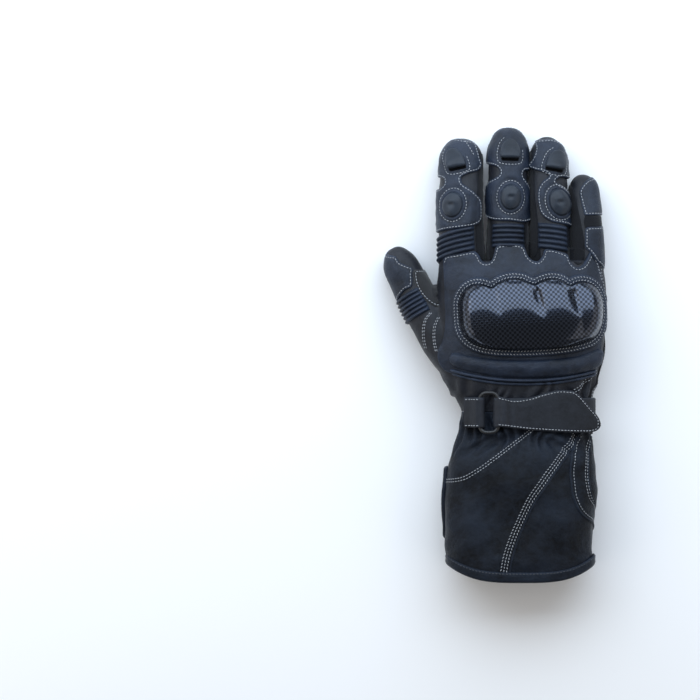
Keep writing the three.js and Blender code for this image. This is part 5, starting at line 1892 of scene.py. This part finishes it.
Panel(
    "cuff_inset_leather", cuff, cut(cuff, CUFF_SIDE), 0.8, cuff_leather, "panel_leather", CUFF,
    ("cuff_side_panel",), edge=0.8, grooves=(1.5,),
)


# The palm side. Its outlines are seen from the back, through the glove.

def palm_plan(points, spacing=0.8):
    return cut(palm, palm_points(points), spacing)


PALM_SHIFT = 231
PALM_DROP = 20


def palm_points(points):
    """Points of the other glove's palm in the photograph, brought to this glove's place."""
    made = []
    for x, y in points:
        drop_by = PALM_DROP * min(1, max(0, (y - 250) / 110))
        made.append((x + PALM_SHIFT, y - drop_by))
    return made


HEEL_PATCH = [
    (234, 352), (230.4, 362), (229.4, 380), (230.4, 398), (233, 409), (240, 419), (250, 431),
    (262, 437), (290, 436), (320, 433), (350, 430), (366, 427), (372, 422), (374, 400), (374, 370),
    (373, 340), (371, 328), (362, 333), (346, 342.6), (330, 353), (316, 361), (301, 362.7), (288, 361),
    (272, 356), (250, 351),
]
PAD_LARGE = [
    (257, 377), (263, 374.2), (278, 373.6), (291, 374.6), (299, 384), (305.6, 397.6), (306, 410),
    (301, 417), (284, 419), (267.6, 418.6), (262.4, 410), (258.6, 398), (255.8, 385),
]
PAD_SMALL = [
    (352, 364), (358, 368), (361.4, 379), (360.6, 391), (356, 401), (350, 405.4), (344.6, 400),
    (342.4, 388), (343.4, 376), (347, 367),
]
GRIP_PATCH = [
    (216, 322), (215.6, 290), (215.6, 259), (216.4, 238), (218, 224.7), (222.4, 216), (228, 214),
    (233.6, 220), (234.6, 235), (234.8, 252), (237, 266), (243, 273.6), (250.6, 270), (257, 259),
    (262, 247), (267.7, 242.6), (273.4, 248), (275, 260), (277, 271), (282.8, 275.4), (290, 269),
    (296, 257), (301, 250.4), (306, 250.6), (310, 258), (315.7, 271), (324, 277), (331, 281.6),
    (332, 288), (326, 292.8), (310, 293), (291, 292), (276, 289.4), (266.6, 291.6), (266, 297),
    (273, 300.6), (288, 303.6), (304.7, 307), (322, 312.6), (331, 319), (329.6, 326.6), (322, 328),
    (308, 324), (291, 318), (277.3, 313.8), (262, 308.6), (249, 305.6), (243, 309.6), (238, 320),
    (231, 331), (224, 338),
]
heel = Panel(
    "palm_heel_suede", palm, palm_plan(HEEL_PATCH), 1.3, suede, "suede", SHELL,
    ("palm_heel_patch",), edge=0.9, grooves=(1.6, 3.4), floor=0.5,
)
stitched_edges("palm", heel, 1.6, 3.4)
pad_large = Panel(
    "palm_pad_leather", palm, palm_plan(PAD_LARGE, 0.7), 1.2, shell_leather, "leather",
    ("palm_heel_suede",), ("palm_pad_large",), edge=2.6, spacing=1.4, floor=0.03,
)
pad_small = Panel(
    "palm_side_pad_leather", palm, palm_plan(PAD_SMALL, 0.7), 2.0, shell_leather, "leather",
    ("palm_heel_suede",), ("palm_pad_small",), edge=2.6, spacing=1.3, floor=0.03,
)
for pad in (pad_large, pad_small):
    pad_row = resample(inset(pad.outline, -1.2), 0.6, True)
    stitch_line("palm", palm.place, pad_row, ("palm_heel_suede",), closed=True)
grip = Panel(
    "palm_grip_suede", palm, palm_plan(GRIP_PATCH), 1.1, suede, "suede", HAND,
    ("palm_grip_patch",), edge=0.9, grooves=(1.3,), floor=0.5, spacing=1.6,
)
stitched_edges("palm", grip, 1.3)
LITTLE_SIDE = [
    (371, 214), (356, 221), (341, 226), (338.6, 240), (339.6, 262), (342.6, 290), (346, 318),
    (350, 334), (362, 326), (376, 318), (386, 300), (387, 260), (384, 225),
]
little_side = Panel(
    "palm_side_leather", palm, palm_plan(LITTLE_SIDE), 0.9, shell_leather, "panel_leather", SHELL,
    ("little_side_panel",), edge=0.9, grooves=(1.4,), floor=0.5,
)
stitched_edges("palm", little_side, 1.4)

STRAP_BASE = [
    (253.6, 436.5), (262, 438), (300, 434), (335, 429), (362, 426), (368, 428), (368, 444), (366, 453),
    (357, 456), (330, 462), (300, 468), (276, 471.6), (268, 470), (261, 456), (254.6, 442),
]
base_panel = Panel(
    "strap_base_suede", cuff_palm, cut(cuff_palm, palm_points(STRAP_BASE)), 1.4, suede, "suede",
    ("cuff", "glove_shell", "palm_heel_suede"), ("strap_base",), edge=0.9, grooves=(1.6,), floor=0.4,
)
stitched_edges("palm", base_panel, 1.6)

CUFF_FLAP = [
    (217, 473), (223, 470.6), (234, 470), (255, 473.6), (280, 478.6), (302, 480.4), (317, 483),
    (325, 492), (327.6, 508), (327.4, 528), (325, 546), (318, 556), (304, 561.6), (280, 561),
    (250, 555.6), (228, 550), (219, 546), (216, 540),
]
FLAP_DROP = 4
flap_outline = cut(cuff_palm, [(x + PALM_SHIFT, y - FLAP_DROP) for x, y in CUFF_FLAP])
flap = Panel(
    "closing_flap", cuff_palm, flap_outline, 2.6, cuff_leather, "leather", CUFF, ("cuff_flap",), edge=1.3,
    grooves=(3.2,), floor=0.0,
)
stitched_edges("palm", flap, 3.2)

make_stitches({"light": thread, "hem": dark_thread})


# The floor, the light and the camera

def floor_finish():
    n = Nodes("floor")
    base = n.mix(n.noise(3, 3, 0.5), (0.93, 0.93, 0.935), (0.95, 0.95, 0.95))
    return n.finish(Base_Color=base, Roughness=0.9)


FLOOR_HALF, FLOOR_LEVEL = 3.0, -0.0001
corners = [(x * FLOOR_HALF, y * FLOOR_HALF, FLOOR_LEVEL) for x, y in ((-1, -1), (1, -1), (1, 1), (-1, 1))]
floor = linked("floor", mesh_of("floor", corners, [(0, 1, 2, 3)]))
floor.data.materials.append(floor_finish())

world = bpy.data.worlds.new("studio")
bpy.context.scene.world = world
world.use_nodes = True
background = world.node_tree.nodes["Background"]
background.inputs["Color"].default_value = (0.95, 0.97, 1.0, 1)
background.inputs["Strength"].default_value = 0.24


def area_light(name, place, target, size, power, color):
    data = bpy.data.lights.new(name, "AREA")
    data.shape, data.size, data.size_y = "RECTANGLE", size[0], size[1]
    data.energy, data.color = power, color
    light = linked(name, data)
    light.location = place
    light.rotation_euler = (Vector(target) - Vector(place)).to_track_quat("-Z", "Y").to_euler()


GLOVE = Vector((-0.01, 0.1, 0.02))
area_light("sky_panel", (-0.05, 0.71, 0.556), GLOVE, (1.8, 0.93), 17, (0.74, 0.86, 1.0))
area_light("key_panel", (-0.85, 0.1, 0.5), GLOVE, (1.3, 0.8), 3.6, (1.0, 0.95, 0.88))
area_light("fill_panel", (0.85, -0.1, 0.5), GLOVE, (1.3, 0.8), 2.6, (1.0, 0.95, 0.9))

CAMERA_HEIGHT = 2.2
SENSOR = 36.0
GLOVE_LEVEL = 0.028
camera_data = bpy.data.cameras.new("camera")
field = PICTURE_SIZE * POINT * MM
camera_data.sensor_width = SENSOR
camera_data.lens = SENSOR * (CAMERA_HEIGHT - GLOVE_LEVEL) / field
camera = linked("camera", camera_data)
centre = photo([(PICTURE_SIZE / 2, PICTURE_SIZE / 2)])[0] * MM
camera.location = (centre[0], centre[1], CAMERA_HEIGHT)
bpy.context.scene.camera = camera
bpy.context.scene.view_settings.view_transform = "Standard"
